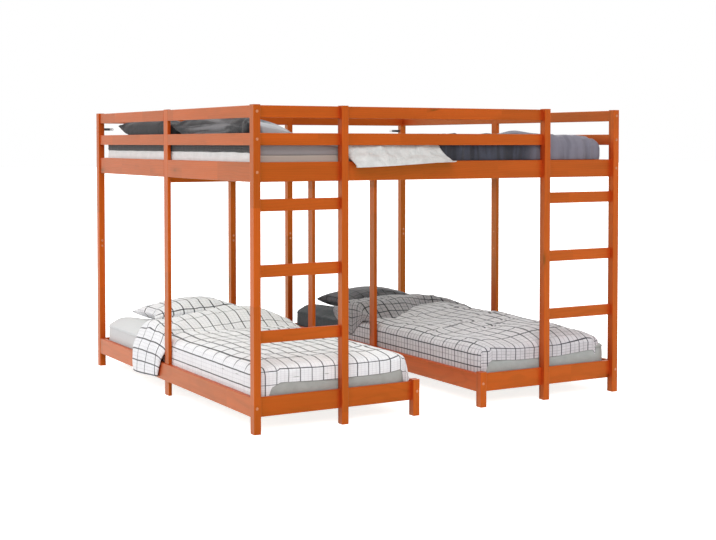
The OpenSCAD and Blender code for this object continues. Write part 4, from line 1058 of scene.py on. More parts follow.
@dataclass
class LaidDuvet(SheetPiece):
    """A duvet laid flat, with rounded shoulders and its edges hanging down at the front and both sides."""

    name: str
    node: str
    x: Tuple[float, float]
    y: Tuple[float, float]
    top: float
    base: float
    front_hem: Sequence[Tuple[float, float]]
    side_hem: float
    slot: str
    finish: bpy.types.Material
    seed: int
    pitch: float = 60.0
    border: float = 38.0
    shoulder: float = 30.0
    crown: float = 26.0
    waves: float = 3.4
    folds: float = 6.0
    fold_count: int = 34
    pleats: float = 0.0
    round_back: float = 0.0
    fill: float = 0.35
    skirt: float = 5.0
    crown_right: Optional[float] = None
    hem_right: Optional[float] = None
    flare: float = 0.0
    corner: float = 15.0
    line_z: float = 204.0
    bumps: Sequence[Tuple[float, float, float, float]] = ()

    def over_edge(self, place: Array, edge: float) -> Tuple[Array, Array]:
        """Lay cloth over a rounded edge.

        Args:
            place: distance along the cloth from its hem.
            edge: length of cloth from the hem to where the top begins.

        Returns:
            The distance in from the edge's face, and the depth below the top.
        """
        r = self.shoulder
        down = np.maximum(edge - r * math.pi / 2 - place, 0)
        angle = np.clip((edge - place) / r, 0, math.pi / 2)
        inward = np.where(place < edge, r * (1 - np.sin(angle)), r + place - edge)
        return inward, r * (1 - np.cos(angle)) + down

    def surface(self) -> Surface:
        """The duvet as one sheet of filled cloth.

        Cut coordinates run across the bed and along it from the hem. Within the shoulder the cloth turns over
        the edge and then hangs straight down to a hem whose height follows a list along the front. Where both
        edges meet, the depths join as the cube root of their cubes' sum, and the corner is drawn in. The top
        has a crown that falls off to all sides, long low waves, short folds and single bumps. The right
        side may hang to its own hem and flare out.

        Returns:
            The closed form.
        """
        left, right = self.x
        front, back = self.y
        drop_side, drop_front = self.top - self.side_hem, self.top - min(z for _, z in self.front_hem)
        r = self.shoulder
        edge_side = drop_side + r * (math.pi / 2 - 1)
        edge_front = drop_front + r * (math.pi / 2 - 1)
        total_u = right - left - 2 * r + 2 * edge_side
        total_v = back - front - r + edge_front
        nu, nv = 180, 170
        even = np.linspace(0, 1, nu + 1)
        u = total_u * (0.55 * (0.5 - 0.5 * np.cos(even * math.pi)) + 0.45 * even)
        v = total_v * np.linspace(0, 1, nv + 1) ** 1.25
        gu, gv = np.meshgrid(u, v)
        in_left, deep_left = self.over_edge(gu, edge_side)
        in_right, deep_right = self.over_edge(total_u - gu, edge_side)
        in_front, deep_front = self.over_edge(gv, edge_front)
        x = np.where(gu < total_u / 2, left + in_left, right - in_right)
        y = front + in_front
        hem_x, hem_z = np.array(self.front_hem).T
        hem_here = np.interp(x, hem_x, hem_z)
        scale = (self.top - hem_here) / drop_front
        deep_front = deep_front * scale
        if self.hem_right is not None:
            x = x + self.flare * np.clip(deep_right / drop_side, 0, 1) ** 1.3
            deep_right = deep_right * (self.top - self.hem_right) / drop_side
        deep_side = deep_left + deep_right
        deep = np.minimum(np.cbrt(deep_side**3 + deep_front**3), max(drop_side, drop_front))
        # The corners are drawn in, so that they are round from above
        near_x = np.clip(1 - np.minimum(x - left, right - x) / 85, 0, 1)
        near_y = np.clip(1 - (y - front) / 85, 0, 1)
        pull = self.corner * (near_x * near_y) ** 2
        x = x + pull * np.where(gu < total_u / 2, 1, -1)
        y = y + pull
        ex = np.clip(np.minimum(x - left, right - x) / 150, 0, 1)
        ey = np.clip((y - front) / 170, 0, 1)
        puff = np.sin(ex * math.pi / 2) ** 0.8 * np.sin(ey * math.pi / 2) ** 0.8
        hanging = np.clip(deep / 14, 0, 1)
        far = self.crown if self.crown_right is None else self.crown_right
        rise = self.crown + (far - self.crown) * soft_step(x, left + 150, right - 240)
        swell = rise * puff + self.waves * ripple(x, y * 0.7, self.seed, (170, 420), 9) * (0.25 + 0.75 * puff)
        field = (left + 50, right - 50, front + 80, back - 40)
        short = self.folds * creases(x, y, self.seed + 7, field, self.fold_count, 12.0)
        swell = swell + short * (0.35 + 0.65 * puff)
        # Pleats gather the cloth above the front edge and run down to its hem
        gather = np.sin(x / 29 + 2.1 * np.sin(x / 97 + self.seed)) + 0.6 * np.sin(x / 13 + 3 * np.sin(x / 61))
        swell = swell + 0.6 * self.pleats * gather * np.exp(-(((y - front) / 90) ** 2))
        for bump_x, bump_y, reach, height in self.bumps:
            off_x, off_y = (x - bump_x) / reach, (y - bump_y) / (1.4 * reach)
            swell = swell + height * np.exp(-(off_x**2) - off_y**2)
        z = self.top - deep + swell * (1 - hanging)
        if self.round_back:
            away = np.clip(1 - (back - y) / self.round_back, 0, 1)
            z = self.base + 2 + (z - self.base - 2) * np.where(z > self.base, np.sqrt(1 - away**2), 1)
        # Hanging cloth ripples a little in and out
        wobble = np.clip(2.2 * ripple(x + y, z, self.seed + 3, (60, 170), 7), -1.2, 3.0) + 1.2
        x = x + np.where(deep_left > 10, 0.55, 0) * wobble - np.where(deep_right > 10, 0.55, 0) * wobble
        pleat = 0.25 * self.pleats * gather * hanging * (deep_front > 10)
        y = y + np.where(deep_front > 10, 0.7, 0) * wobble - pleat
        over = np.stack([x, y, z], -1)
        # The under face is the same cloth, set in by the skirt, and lies on what carries the duvet
        inset = self.skirt
        low_x = np.clip(x, left + inset, right + self.flare - inset)
        low_y = y + inset * np.clip(deep_front / 20, 0, 1)
        hang_low = (deep > 14) & (z < self.base + 4)
        low_z = np.where(hang_low, z + 1.0, np.minimum(self.base, z - 0.5))
        under = np.stack([low_x, low_y, low_z], -1)
        count = max(round((total_u - 2 * self.border) / self.pitch), 1)
        cut_u = (gu - self.border) * self.pitch * count / (total_u - 2 * self.border)
        # Cloth length above the hem's line; the hem's and the fold's line are one cell apart, the others two
        from_hem = np.where(gv < edge_front, gv * scale, edge_front * scale + gv - edge_front)
        from_hem = from_hem - np.maximum(self.line_z - hem_here, 0)
        cut_v = np.where(from_hem < self.pitch, 2 * from_hem, from_hem + self.pitch) + 2.0
        cut = np.stack([cut_u, cut_v], -1)
        return Surface(over, under, cut, cut)


@dataclass
class TurnedBackDuvet(SheetPiece):
    """The upper end of a lower duvet, turned back in a thick roll across the bed."""

    name: str
    node: str
    profile: Sequence[Sequence[float]]
    y: Tuple[float, float]
    drape_y: Tuple[float, float]
    lower_edge: Sequence[Tuple[float, float]]
    slot: str
    finish: bpy.types.Material
    seed: int
    folds: float = 6.0
    ground: Sequence[Tuple[float, float]] = ((0, 299), (2052, 299))
    rise: float = 0.55
    fold: Optional[Sequence[Tuple[float, float]]] = None
    pivot: float = 250.0
    drape_slant: float = 0.0

    def surface(self) -> Surface:
        """The roll as a carried profile.

        The profile is inner and outer points from one end over the roll to the end that hangs. Across the
        roll the outer face rises from the height of the spread cloth to its ridge and falls a little toward
        the back edge. The hanging part is of even thickness, and its lower edge is lifted along a list.

        Returns:
            The closed form.
        """
        u = np.linspace(0, 1, 201)
        angle = np.linspace(0, math.pi, 75)
        gu, ga = np.meshgrid(u, angle)
        at = smooth_path(self.profile, gu)
        side = -np.sign(np.cos(ga)) * np.abs(np.cos(ga)) ** (2 / 2.4)
        share = 0.5 + 0.5 * side
        edge = np.abs(np.sin(ga)) ** (2 / 3.6)
        hang = soft_step(gu, 0.70, 0.82)
        lift = at[..., 2:] - at[..., :2]
        along_x = at[..., 2]
        wavy = 26 * np.sin(along_x / 74 + self.seed) + 12 * np.sin(along_x / 31)
        tip = np.clip(16 * gu - 15, 0, 1) ** 2
        begin = self.y[0] + wavy
        if self.fold:
            begin = np.interp(along_x, *np.array(self.fold).T) + 0.2 * wavy
        begin = begin + (self.drape_y[0] - begin) * hang
        begin = begin + self.drape_slant * np.clip((gu - 0.8) / 0.2, 0, 1)
        finish = self.y[1] + (self.drape_y[1] - self.y[1]) * hang - 24 * tip
        y = begin + (finish - begin) * share
        # The outer face rises from the height of the spread cloth to its ridge
        bed = self.profile[2][1]
        under_it = np.interp(along_x, *np.array(self.ground).T) - bed
        level = np.clip(under_it / np.maximum(at[..., 3] - bed, 20), 0.25, 1)
        ridge = level + (1 - level) * soft_step(share, -0.04, self.rise)
        ridge = ridge * (1 - 0.3 * np.clip((share - 0.7) / 0.3, 0, 1) ** 2)
        bulge = edge * (ridge + (1 - ridge) * hang)
        outer = smooth_path(self.profile, u)[:, 2:]
        arc = arc_length(outer)
        along = arc[None, :] + 0 * ga
        thick = np.linalg.norm(lift, axis=-1)
        soft = np.clip(thick / 60, 0.25, 1)
        field = (60, 950, self.y[0] + 40, self.y[1] - 40)
        short = creases(along, y, self.seed + 2, field, 34, 10.5)
        folds = 4.0 * ripple(along, y, self.seed, (110, 300), 9) + self.folds * short
        size = np.maximum(thick, 1e-6)
        grow = bulge * (1 + folds * soft * edge / np.maximum(size, 24))
        inner, out = at[..., :2], lift * grow[..., None]
        # The hanging part's lower edge: its depth is scaled by the list's share at each place along Y
        edge_y, edge_share = np.array(self.lower_edge).T
        keep = np.interp(y, edge_y, edge_share)
        low = np.stack([inner[..., 1], inner[..., 1] + out[..., 1]])
        keep = 1 - (1 - keep) * soft_step(self.profile[-1][2] - along_x, -42, -12)
        low = np.where((low < self.pivot) & (gu > 0.5), self.pivot - (self.pivot - low) * keep, low)
        over = np.stack([inner[..., 0] + out[..., 0], y, low[1]], -1)
        under = np.stack([inner[..., 0], y, low[0]], -1)
        steps = np.linalg.norm(np.diff(over, axis=0), axis=-1)
        cross = np.concatenate([np.zeros((1, len(u))), np.cumsum(steps, axis=0)], 0)
        cut = np.stack([along - arc[-1] + 6, cross - 2000 - 0.5 * cross[-1]], -1)
        return Surface(over[:, ::-1], under[:, ::-1], cut[:, ::-1], cut[:, ::-1])


@dataclass
class Cover:
    """The dark folded cover that lies over the whole upper mattress."""

    name: str
    node: str
    slot: str
    finish: bpy.types.Material
    sizes: Sizes = SIZES

    def build(self) -> bpy.types.Object:
        """A pad with an upright rounded border, slightly uneven, and a little lower toward the bed's front.

        Returns:
            The piece.
        """
        s = self.sizes
        mid = (s.frame_w / 2, s.frame_d / 2)
        half = (s.frame_w / 2 - s.rail_in - 4.5, s.bed_l / 2 - 11.0)
        ring = rounded_plan(mid, half, UPPER_CORNERS, 320) - np.array(mid)
        size, rise = COVER_RINGS[:, :1, None], COVER_RINGS[:, 1:]
        xy = np.array(mid) + size * ring[None]
        low = s.upper_top + 6.0 - FRONT_DROP * from_front(xy[..., 1])
        high = s.cover_top + 0.4 + 9.0 * (1 - soft_step(xy[..., 0], 380, 470))
        top = rise > 0.9
        waves = 0.8 * ripple(xy[..., 0], xy[..., 1], 21, (140, 420), 10) * top
        piece = ring_block(self.name, xy, low + (high - low) * rise + waves - 0.6 * top)
        wear(piece, self.finish, self.slot, self.node)
        return piece


@dataclass
class WhiteTurnBack(SheetPiece):
    """The white end of the upper duvet, turned back beside it and hung over the front rail."""

    name: str
    node: str
    slot: str
    finish: bpy.types.Material
    sizes: Sizes = SIZES
    left: Tuple[float, float] = (504.0, 478.0)
    right: Tuple[float, float] = (1046.0, 990.0)
    length: float = 1000.0
    slant: float = 27.0

    def surface(self) -> Surface:
        """Filled cloth on a profile carried along X.

        The profile runs from the front hem over the rail and the mattress edge to the far end, as inner and
        outer points. The outer face swells between the two sides. Both sides shift with the height, from
        the hem to the mattress top. Folds stand out along the line from the inner to the outer face.

        Returns:
            The closed form.
        """
        s = self.sizes
        top, rail = s.cover_top + 1.0, s.platform_top
        fall = rail - 27
        profile = [
            [-14, fall, -36, fall],
            [-8, rail - 12, -28, rail - 12],
            [22, rail + 5, -6, rail + 18],
            [40, rail + 16, 18, rail + 38],
            [47, s.cover_top - 10, 42, s.cover_top + 8],
            [70, top, 66, top + 32],
            [130, top, 140, top + 50],
            [42 + 0.37 * self.length, top, 42 + 0.37 * self.length, top + 55],
            [42 + 0.7 * self.length, top, 42 + 0.7 * self.length, top + 55],
            [42 + self.length, top, 42 + self.length, top + 18],
        ]
        v = np.linspace(0, 1, 181) ** 1.3
        angle = np.linspace(0, math.pi, 121)
        ga, gv = np.meshgrid(angle, v)
        at = smooth_path(profile, gv)
        side = -np.sign(np.cos(ga)) * np.abs(np.cos(ga)) ** (2 / 3)
        bulge = np.abs(np.sin(ga)) ** (2 / 3.4)
        u = 0.5 + 0.5 * side
        climb = soft_step(at[..., 1], fall, top)
        x_left = self.left[0] + (self.left[1] - self.left[0]) * climb
        x_right = self.right[0] + (self.right[1] - self.right[0]) * climb
        x = x_left + (x_right - x_left) * u
        hem_rise = self.slant * u**1.3 * (1 - soft_step(gv, 0, 0.16))
        end = np.clip((1 - gv) * 18, 0, 1) ** 0.5
        across = at[..., 2:] - at[..., :2]
        lift = across * (bulge * end)[..., None]
        thick = np.linalg.norm(lift, axis=-1)
        out = across / np.linalg.norm(across, axis=-1, keepdims=True)
        along = arc_length(smooth_path(profile, v)[:, 2:])[:, None] + 0 * x
        # Bunched folds lie along the mattress edge and run out toward the hem
        bunch = np.exp(-(((along - 85 - 14 * np.sin(x / 47)) / 34) ** 2))
        folds = 9.0 * bunch * np.sin(x / 15 + 2.6 * np.sin(x / 59) + along / 26) * (0.4 + 0.6 * (x < 720))
        scallops = np.clip(np.sin(x / 31 + 1.8 * np.sin(x / 83 + 2)), -0.2, 1)
        folds = folds + 5.0 * np.exp(-((along - 40) / 60) ** 2) * scallops
        folds = folds + 8.0 * creases(x, along, 41, (500, 1010, 30, 460), 34, 12.0)
        folds = folds + 3.0 * ripple(x, along, 43, (110, 300), 10)
        calm = 0.35 + 0.65 * soft_step(along, 0, 30)
        folds = np.clip(folds, -9, 12) * np.clip(thick / 22, 0, 1) * bulge * calm
        yz = at[..., :2] + lift + out * folds[..., None]
        over = np.stack([x, np.maximum(yz[..., 0], -38.0), yz[..., 1] + hem_rise], -1)
        under = np.stack([x, at[..., 0], at[..., 1] + hem_rise], -1)
        cut = np.stack([x, along], -1)
        return Surface(over, under, cut, cut)


# ---------------------------------------------------------------- the frame's finishes


@dataclass
class FrameDressing:
    """Gives every wooden and steel solid its finish."""

    along_x: Tuple[str, ...] = (
        "front_guard_rails", "back_guard_rails", "front_platform_rails", "back_platform_rails",
        "middle_beam", "left_bed_foot_rails", "right_bed_foot_rails", "bed_head_rails",
        "left_ladder_rungs", "right_ladder_rungs",
    )
    along_y: Tuple[str, ...] = (
        "left_guard_rails", "right_guard_rails", "left_platform_rails", "right_platform_rails",
        "left_bed_outer_rail", "left_bed_inner_rail", "right_bed_inner_rail", "right_bed_outer_rail",
    )
    along_z: Tuple[str, ...] = (
        "front_left_post", "left_ladder_post", "right_ladder_post", "front_right_post", "foot_posts",
        "back_left_post_lower", "back_left_post_upper",
        "back_inner_left_post_lower", "back_inner_left_post_upper",
        "back_inner_right_post_lower", "back_inner_right_post_upper",
        "back_right_post_lower", "back_right_post_upper",
        "left_middle_post_lower", "left_middle_post_upper",
        "right_middle_post_lower", "right_middle_post_upper",
        "left_inner_support", "right_inner_support",
    )
    plain_x: Tuple[str, ...] = ("left_bed_slats", "right_bed_slats")
    plain_y: Tuple[str, ...] = ("platform_slats", "platform_ledges", "bed_ledges")
    steel: Tuple[str, ...] = ("connecting_bolts", "barrel_nuts", "post_pins", "wood_screws")

    stain: Dict[str, str] = field(
        default_factory=lambda: dict(deep="#90260c", middle="#ac3814", bright="#c24518", knot="#521004")
    )
    plain: Dict[str, str] = field(
        default_factory=lambda: dict(deep="#c49a66", middle="#d8b684", bright="#e6cb9f", knot="#7a4a26")
    )

    def dress(self) -> None:
        """Assign the finishes to the CAD nodes."""
        self.give(self.along_x, WoodFinish("stained_pine_along_x", Grain.ALONG_X, **self.stain).material())
        self.give(self.along_y, WoodFinish("stained_pine_along_y", Grain.ALONG_Y, **self.stain).material())
        # The posts carry a darker strip of painted shade along their rear
        posts = WoodFinish("stained_pine_posts", Grain.ALONG_Z, shaded_rear_strip=True, **self.stain)
        self.give(self.along_z, posts.material())
        sawn = dict(roughness=0.6, **self.plain)
        plain_x = WoodFinish("plain_pine_along_x", Grain.ALONG_X, cell_step=0.158, **sawn)
        plain_y = WoodFinish("plain_pine_along_y", Grain.ALONG_Y, cell_step=0.143, **sawn)
        self.give(self.plain_x, plain_x.material())
        self.give(self.plain_y, plain_y.material())
        beech = WoodFinish("beech", Grain.ALONG_X, "#c08d62", "#cf9f74", "#dcb48c", "#a8744c", roughness=0.6)
        self.give(("wood_dowels",), beech.material())
        self.give(self.steel, SteelFinish("bronzed_steel", "#c98a68", "#a86c4c").material())
        # The wall angles' rounded ends carry a painted highlight
        angles = SteelFinish("wall_angle_steel", "#6e7176", "#4d5056", painted_highlight_end=True)
        self.give(("wall_plates",), angles.material())
        self.give(("slat_straps",), WebbingFinish("strap_webbing", "#d8d2c4", "#a9a292").material())

    @staticmethod
    def give(names: Sequence[str], finish: bpy.types.Material) -> None:
        """Put one finish on the named nodes' objects."""
        for name in names:
            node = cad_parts[name]
            node.data.materials.clear()
            node.data.materials.append(finish)
            LOG.info("%s: %s", name, finish.name)


# ---------------------------------------------------------------- studio


@dataclass(frozen=True)
class Lamp:
    """A far, wide soft light."""

    name: str
    toward: Tuple[float, float, float]
    strength: float
    width: float

    def build(self) -> None:
        """Make the lamp, shining from the given direction to the bed."""
        data = bpy.data.lights.new(self.name, "SUN")
        data.energy = self.strength
        data.angle = math.radians(self.width)
        x, y, z = self.toward
        tip = math.atan2(math.hypot(x, y), z)
        place(self.name, data).rotation_euler = (tip, 0, math.atan2(y, x) + math.pi / 2)


@dataclass
class Studio:
    """A pale floor, a white surround, soft lamps and the camera."""

    camera_at: Tuple[float, float, float] = (-3.4267, -6.1831, 1.2715)
    camera_turn: Tuple[float, float, float] = (math.radians(88), 0.0, math.radians(-29.763))
    lens: float = 65.82
    shift: float = -0.1133
    ambient: float = 0.44
    floor_glow: float = 0.79
    lamps: Tuple[Lamp, ...] = (
        Lamp("left_key", (-0.66, 0.58, 0.47), 0.90, 50),
        Lamp("front_left_fill", (-0.42, -0.74, 0.80), 1.97, 48),
        Lamp("right_back_fill", (0.70, 0.55, 0.45), 0.80, 60),
    )
    shelf_light: float = 7.0
    shelf_colour: str = "#e8ffff"

    def camera(self) -> None:
        """Set the camera that the photograph was fitted with."""
        data = bpy.data.cameras.new("camera")
        data.lens = self.lens
        data.sensor_width = 36.0
        data.shift_y = self.shift
        data.clip_end = 200
        made = place("camera", data)
        made.location = self.camera_at
        made.rotation_euler = self.camera_turn
        bpy.context.scene.camera = made

    def shelf_lamp(self) -> None:
        """A wide soft light under the platform, not itself seen, that reaches the tops of the lower beds."""
        data = bpy.data.lights.new("under_platform_light", "AREA")
        data.shape = "RECTANGLE"
        data.size, data.size_y = 1.86, 1.9
        data.energy = self.shelf_light
        data.color = linear(self.shelf_colour)
        made = place("under_platform_light", data)
        made.location = (0.015, 0.0, 1.03)
        made.visible_camera = made.visible_glossy = made.visible_transmission = False

    def floor(self) -> None:
        """A wide floor that is white where nothing shades it and keeps the bed's shadow."""
        mesh = bpy.data.meshes.new("floor")
        r = 60.0
        mesh.from_pydata([(-r, -r, 0), (r, -r, 0), (r, r, 0), (-r, r, 0)], [], [(0, 1, 2, 3)])
        made = place("floor", mesh)
        finish, t = new_finish("studio_floor")
        lit = t.add("ShaderNodeBsdfDiffuse", {"Color": (0.84, 0.84, 0.84, 1)}).outputs[0]
        glow = t.add("ShaderNodeEmission", {"Strength": t.times(t.watched(), self.floor_glow)}).outputs[0]
        both = t.add("ShaderNodeAddShader", {0: lit, 1: glow}).outputs[0]
        t.add("ShaderNodeOutputMaterial", {0: both})
        mesh.materials.append(finish)

    def surround(self) -> None:
        """White to the camera and in reflections, and a lower even light on the bed."""
        world = bpy.data.worlds.new("surround")
        bpy.context.scene.world = world
        world.use_nodes = True
        t = Tree(world.node_tree)
        strength = t.scaled(t.watched(), 1 - self.ambient, self.ambient)
        back = t.add("ShaderNodeBackground", {"Color": (1, 1, 1, 1), "Strength": strength})
        t.add("ShaderNodeOutputWorld", {0: back.outputs[0]})

    def build(self) -> None:
        """Make the whole studio."""
        self.camera()
        self.floor()
        self.surround()
        self.shelf_lamp()
        for lamp in self.lamps:
            lamp.build()
        bpy.context.scene.view_settings.view_transform = "Standard"


# ---------------------------------------------------------------- the bedding

# Plain cloths: colour, shade, thread pitch in metres and nap, then what changes over the piece: painted
# shade on the ticking's and a painted sheen on the cover's front where it turns down, another head end, a
# painted sheen along a pillow, painted fold shade and a painted sheen toward the right, or deeper creases
CLOTHS = {
    "mattress_ticking": ("#e6e6e6", "#dadbda", 0.0014, 0.15, dict(front="#b5a89f")),
    "white_and_grey_cover": ("#a8a9a6", "#9c9e9a", 0.0014, 0.15, dict(head="#cacbcc")),
    "charcoal_and_grey_cover": ("#a8acaa", "#9b9f9d", 0.0014, 0.15, dict(head="#2b3034")),
    "white_and_grey_piping": ("#a4a5a2", "#989a96", 0.0009, 0.1, dict(head="#c8c9ca")),
    "charcoal_and_grey_piping": ("#a0a4a2", "#969a98", 0.0009, 0.1, dict(head="#292e32")),
    "piping_cloth": ("#c9c9c8", "#bcbcbb", 0.0009, 0.1, dict(front="#a8a29d")),
    "slate_cotton": ("#2f3436", "#262b2d", 0.0009, 0.25, dict(front="#938d8e")),
    "slate_pillow_cotton": ("#1e2428", "#181e22", 0.0009, 0.25, {}),
    "slate_satin_pillow": ("#292f33", "#20262a", 0.0009, 0.25, dict(painted_sheen="#b9bec3")),
    "navy_cotton": ("#383b49", "#2b2d38", 0.0009, 0.3, dict(right="#74717d")),
    "white_cotton": ("#d6d6d4", "#c4c4c2", 0.0009, 0.2, dict(crease=0.05)),
}
# Checked cloths, all with the same thread and nap: colour and shade, then their lines
CHECKS = {
    "white_check_cotton": ("#ebebed", "#e4e4e7", dict(side_share=0.2)),
    "white_check_turned_back": ("#ebebed", "#e4e4e7", dict(side_share=0.8, side_reach=(0.36, 0.27))),
    "grey_check_cotton": (
        "#cecbcf", "#c1bec2",
        dict(
            faint="#5c5960", check=(0.056, 0.112), fine=0.028, fine_width=0.0040,
            fine_share=0.45, fine_side_and_shade=1.0,
        ),
    ),
    "grey_check_inside": (
        "#a39fa2", "#939093",
        dict(faint="#55535a", check=(0.056, 0.056), fine=0.028, fine_width=0.0034, fine_share=0.7),
    ),
    "dark_check_cotton": (
        "#514f54", "#454448", dict(line="#161719", faint="#2e2e32", check=(0.056, 0.056))
    ),
}


def cloths() -> Dict[str, bpy.types.Material]:
    """Every cloth's material by name."""
    made = {}
    for name, (colour, shade, pitch, nap, more) in CLOTHS.items():
        made[name] = ClothFinish(name, colour, shade, pitch, nap, **more).material()
    for name, (colour, shade, more) in CHECKS.items():
        made[name] = CheckFinish(name, colour, shade, 0.0009, 0.2, **more).material()
    return made


@dataclass
class Bedding:
    """All mattresses, pillows and duvets with their finishes."""

    sizes: Sizes = SIZES

    def build(self) -> None:
        """Make every soft piece in order from below to above."""
        s = self.sizes
        cloth = cloths()
        left = (s.left_x, s.left_x + s.bed_w)
        right = (s.right_x, s.right_x + s.bed_w)
        bed = (s.bed_low, s.bed_top)
        pieces: List[bpy.types.Object] = []
        beds = [
            Mattress(
                f"{side}_mattress_body", f"{side}_mattress", x, bed, slot,
                cloth[f"{tint}_and_grey_cover"], cloth[f"{tint}_and_grey_piping"], crown=34,
            )
            for side, x, slot, tint in (
                ("left", left, "mattress_light", "white"), ("right", right, "slate_fabric", "charcoal"),
            )
        ]
        pieces += beds[0].build() + beds[1].build()
        upper = (s.rail_in, s.frame_w - s.rail_in)
        pieces += Mattress(
            "upper_mattress_body", "upper_mattress", upper, (s.upper_low, s.upper_top + 12), "mattress_light",
            cloth["mattress_ticking"], cloth["piping_cloth"],
            corners=UPPER_CORNERS, end_gap=13.0, front_drop=FRONT_DROP, piped=False,
        ).build()
        pieces.append(Cover("upper_cover", "upper_blanket", "slate_fabric", cloth["slate_cotton"]).build())
        pieces += self.pillows(beds, cloth)
        pieces += self.left_duvet(cloth["white_check_cotton"], cloth["white_check_turned_back"])
        pieces += self.right_duvet(cloth["grey_check_cotton"], cloth["grey_check_inside"])
        hem = s.platform_top + 1.5
        pieces.append(
            LaidDuvet(
                "upper_duvet_form", "upper_duvet", (990.0, 1968.0), (s.post_d + 2, s.post_d + 1160), 1306.0,
                s.cover_top + 1.5, [(990, hem), (1975, hem)], s.cover_top + 4,
                "navy_fabric", cloth["navy_cotton"], 33, shoulder=56.0, crown=7.0, waves=4.5, folds=9.0,
                fold_count=46, pleats=16.0, round_back=60.0, fill=0.45, corner=2.0, bumps=((1606, 300, 62, 22),),
            ).build()
        )
        white_end = WhiteTurnBack(
            "upper_duvet_white_end", "upper_duvet_turnback", "white_fabric", cloth["white_cotton"]
        )
        pieces.append(white_end.build())
        for piece in pieces:
            LOG.info("%s: %d points", piece.name, len(piece.data.vertices))

    def pillows(
        self, beds: Sequence[Mattress], cloth: Dict[str, bpy.types.Material]
    ) -> List[bpy.types.Object]:
        """The four pillows: one in each lower bed and two that lean on the left guard rails.

        Args:
            beds: both lower mattresses.
            cloth: the cloths' materials by name.

        Returns:
            The pieces.
        """
        s = self.sizes

        def on_bed(bed: Mattress) -> Callable[[Array, Array], Array]:
            """The height in metres of a mattress's top at places in metres."""

            def top(x: Array, y: Array) -> Array:
                """The same height for a whole array of places."""
                return (s.bed_top + 0.6 + bed.swell(1000 * x + ORIGIN[0], 1000 * y + ORIGIN[1])) / 1000

            return top

        made = [
            Pillow(
                "left_pillow_form", "left_pillow", (436, 1838, 320), (257, 185, 59), (1.7, 2.76), 0.12,
                "white_check", cloth["white_check_cotton"], tilt=-3.4, lean=0.13, seed=11,
            ).build(on_bed(beds[0])),
            Pillow(
                "right_pillow_form", "right_pillow", (1622, 1838, 317), (238, 187, 59), (1.7, 2.79), 0.04,
                "grey_check", cloth["dark_check_cotton"], tilt=-2.8, lean=-0.02, seed=11,
            ).build(on_bed(beds[1])),
        ]
        upper = (("slate_satin_pillow", 572.0, 440.0, 0.5), ("slate_pillow_cotton", 1402.0, 392.0, 1.5))
        for k, (finish, mid_y, half_y, slant) in enumerate(upper):
            pillow = Pillow(
                f"upper_pillow_{k + 1}", "upper_pillows", (142.0, mid_y, 1338.0), (112, half_y, 44),
                (2.0, 5.0), 0.02, "slate_fabric", cloth[finish], tilt=12.0, belly=74.0, slant=slant, seed=11 + k,
            )
            made.append(pillow.build(lambda x, y: np.full_like(x, (s.cover_top + 9.8) / 1000)))
        return made

    def left_duvet(
        self, finish: bpy.types.Material, roll_finish: bpy.types.Material
    ) -> List[bpy.types.Object]:
        """The left lower duvet: its spread part, and its end turned back over the outer rail."""
        s = self.sizes
        x0, x1, low = s.left_x, s.left_x + s.bed_w, s.bed_top + 1.0
        hem = [(28, 150), (90, 150), (106, 190), (150, 211), (290, 206), (430, 200), (520, 203), (700, 206)]
        hem += [(740, 211), (780, 217), (796, 200), (806, 150), (824, 150)]
        spread = LaidDuvet(
            "left_duvet_spread", "left_duvet", (x0 + 2, x1 - 2), (s.post_d + 2.5, s.mid_y + 230),
            s.bed_top + 26, s.bed_top + 9.5, hem, 150.0, "white_check", finish, 3, hem_right=163.0,
            flare=26.0, fold_count=22, waves=4.4, folds=4.4, round_back=70.0,
        )
        profile = [
            [x1 - 8, 150, x1 - 2, 150],
            [x1 - 8, s.bed_top - 12, x1 - 2, s.bed_top - 16],
            [x1 - 34, low, x1 - 18, 296],
            [x1 - 96, low, x1 - 84, 344],
            [660, low, 660, 374],
            [540, low, 540, 385],
            [430, low, 430, 378],
            [330, low, 330, 364],
            [220, low, 215, 348],
            [130, low, 118, 341],
            [x0 + 44, low, x0 + 34, 330],
            [x0 + 2, s.bed_top - 6, x0 - 14, 282],
            [-1, s.rail_top + 24, -18, 214],
            [-5, 130, -25, 150],
            [-5, 66, -29, 68],
        ]
        roll = TurnedBackDuvet(
            "left_duvet_turned_back", "left_duvet", profile, (1086.0, 1552.0), (1062.0, 1490.0),
            [(1080, 0.90), (1200, 0.93), (1380, 1.0), (1550, 1.0)], "white_check", roll_finish, 8,
            drape_slant=84.0,
        )
        return [spread.build(), roll.build()]

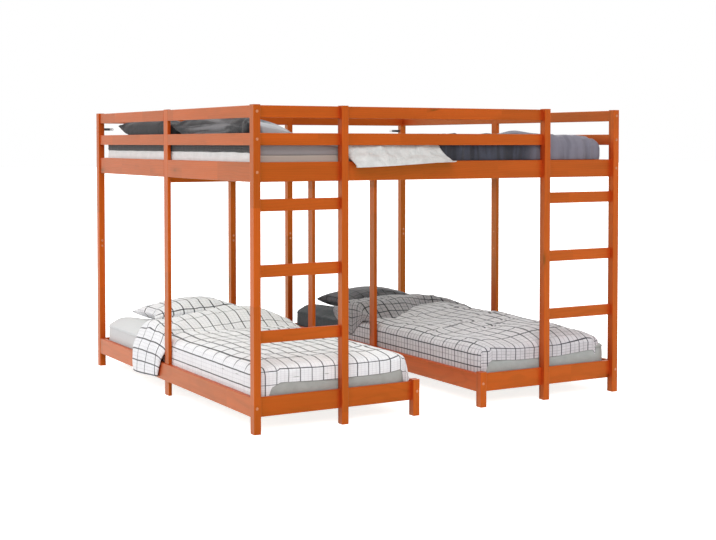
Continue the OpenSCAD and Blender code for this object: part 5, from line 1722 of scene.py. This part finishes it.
    def right_duvet(self, finish: bpy.types.Material, inside: bpy.types.Material) -> List[bpy.types.Object]:
        """The right lower duvet, whose turned back end shows its darker inside."""
        s = self.sizes
        x0, x1, low = s.right_x, s.right_x + s.bed_w, s.bed_top + 1.0
        hem = [(1228, 150), (1256, 150), (1268, 190), (1296, 216), (1380, 210), (1450, 205), (1600, 203)]
        hem += [(1690, 203), (1800, 211), (1900, 218), (1932, 216), (1944, 190), (1952, 150), (1990, 150)]
        spread = LaidDuvet(
            "right_duvet_spread", "right_duvet", (x0 + 2, x1 - 34), (s.post_d + 2.5, s.mid_y + 390),
            s.bed_top + 24, s.bed_top + 9.5, hem, 150.0, "grey_check", finish, 4, pitch=56.0, border=34.0,
            waves=5.0, folds=8.0, fold_count=30, crown=24.0, crown_right=60.0,
            bumps=((1890, 235, 45, -24), (1840, 330, 60, -10)), round_back=70.0,
        )
        profile = [
            [x1 - 34, 150, x1 - 30, 150],
            [x1 - 34, s.bed_top - 12, x1 - 30, s.bed_top - 16],
            [x1 - 56, low, x1 - 42, 300],
            [x1 - 110, low, x1 - 80, 334],
            [x0 + 620, low, x0 + 640, 352],
            [x0 + 500, low, x0 + 520, 370],
            [x0 + 380, low, x0 + 380, 380],
            [x0 + 270, low, x0 + 270, 383],
            [x0 + 165, low, x0 + 160, 381],
            [x0 + 90, low, x0 + 76, 373],
            [x0 + 44, low, x0 + 26, 356],
            [x0 + 12, s.bed_top - 4, x0 + 3, 310],
            [x0 + 8, 222, x0, 240],
            [x0 + 8, 185, x0, 190],
            [x0 + 8, 150, x0, 150],
        ]
        ground = [(1228, 290), (1450, 300), (1600, 312), (1750, 324), (1850, 330), (1950, 318), (2052, 300)]
        edge = [(1084, 0.26), (1182, 0.27), (1213, 0.40), (1260, 0.60), (1303, 0.81), (1330, 0.80)]
        edge += [(1389, 0.65), (1460, 0.5), (1520, 0.32), (1545, 0.12)]
        fold = [(1228, 1150), (1303, 1132), (1388, 1075), (1472, 1112), (1587, 1197), (1712, 1300)]
        fold += [(1800, 1352), (1870, 1330), (1930, 1230), (1990, 1106)]
        roll = TurnedBackDuvet(
            "right_duvet_turned_back", "right_duvet", profile, (1086.0, 1552.0), (1100.0, 1535.0), edge,
            "grey_check", inside, 9, folds=7.0, ground=ground, rise=0.34, fold=fold, pivot=330.0,
        )
        return [spread.build(), roll.build()]


def main() -> None:
    """Build the studio, the frame's finishes and the bedding."""
    logging.basicConfig(level=logging.INFO, format="%(name)s: %(message)s")
    Studio().build()
    FrameDressing().dress()
    Bedding().build()


if __name__ == "__main__":
    main()
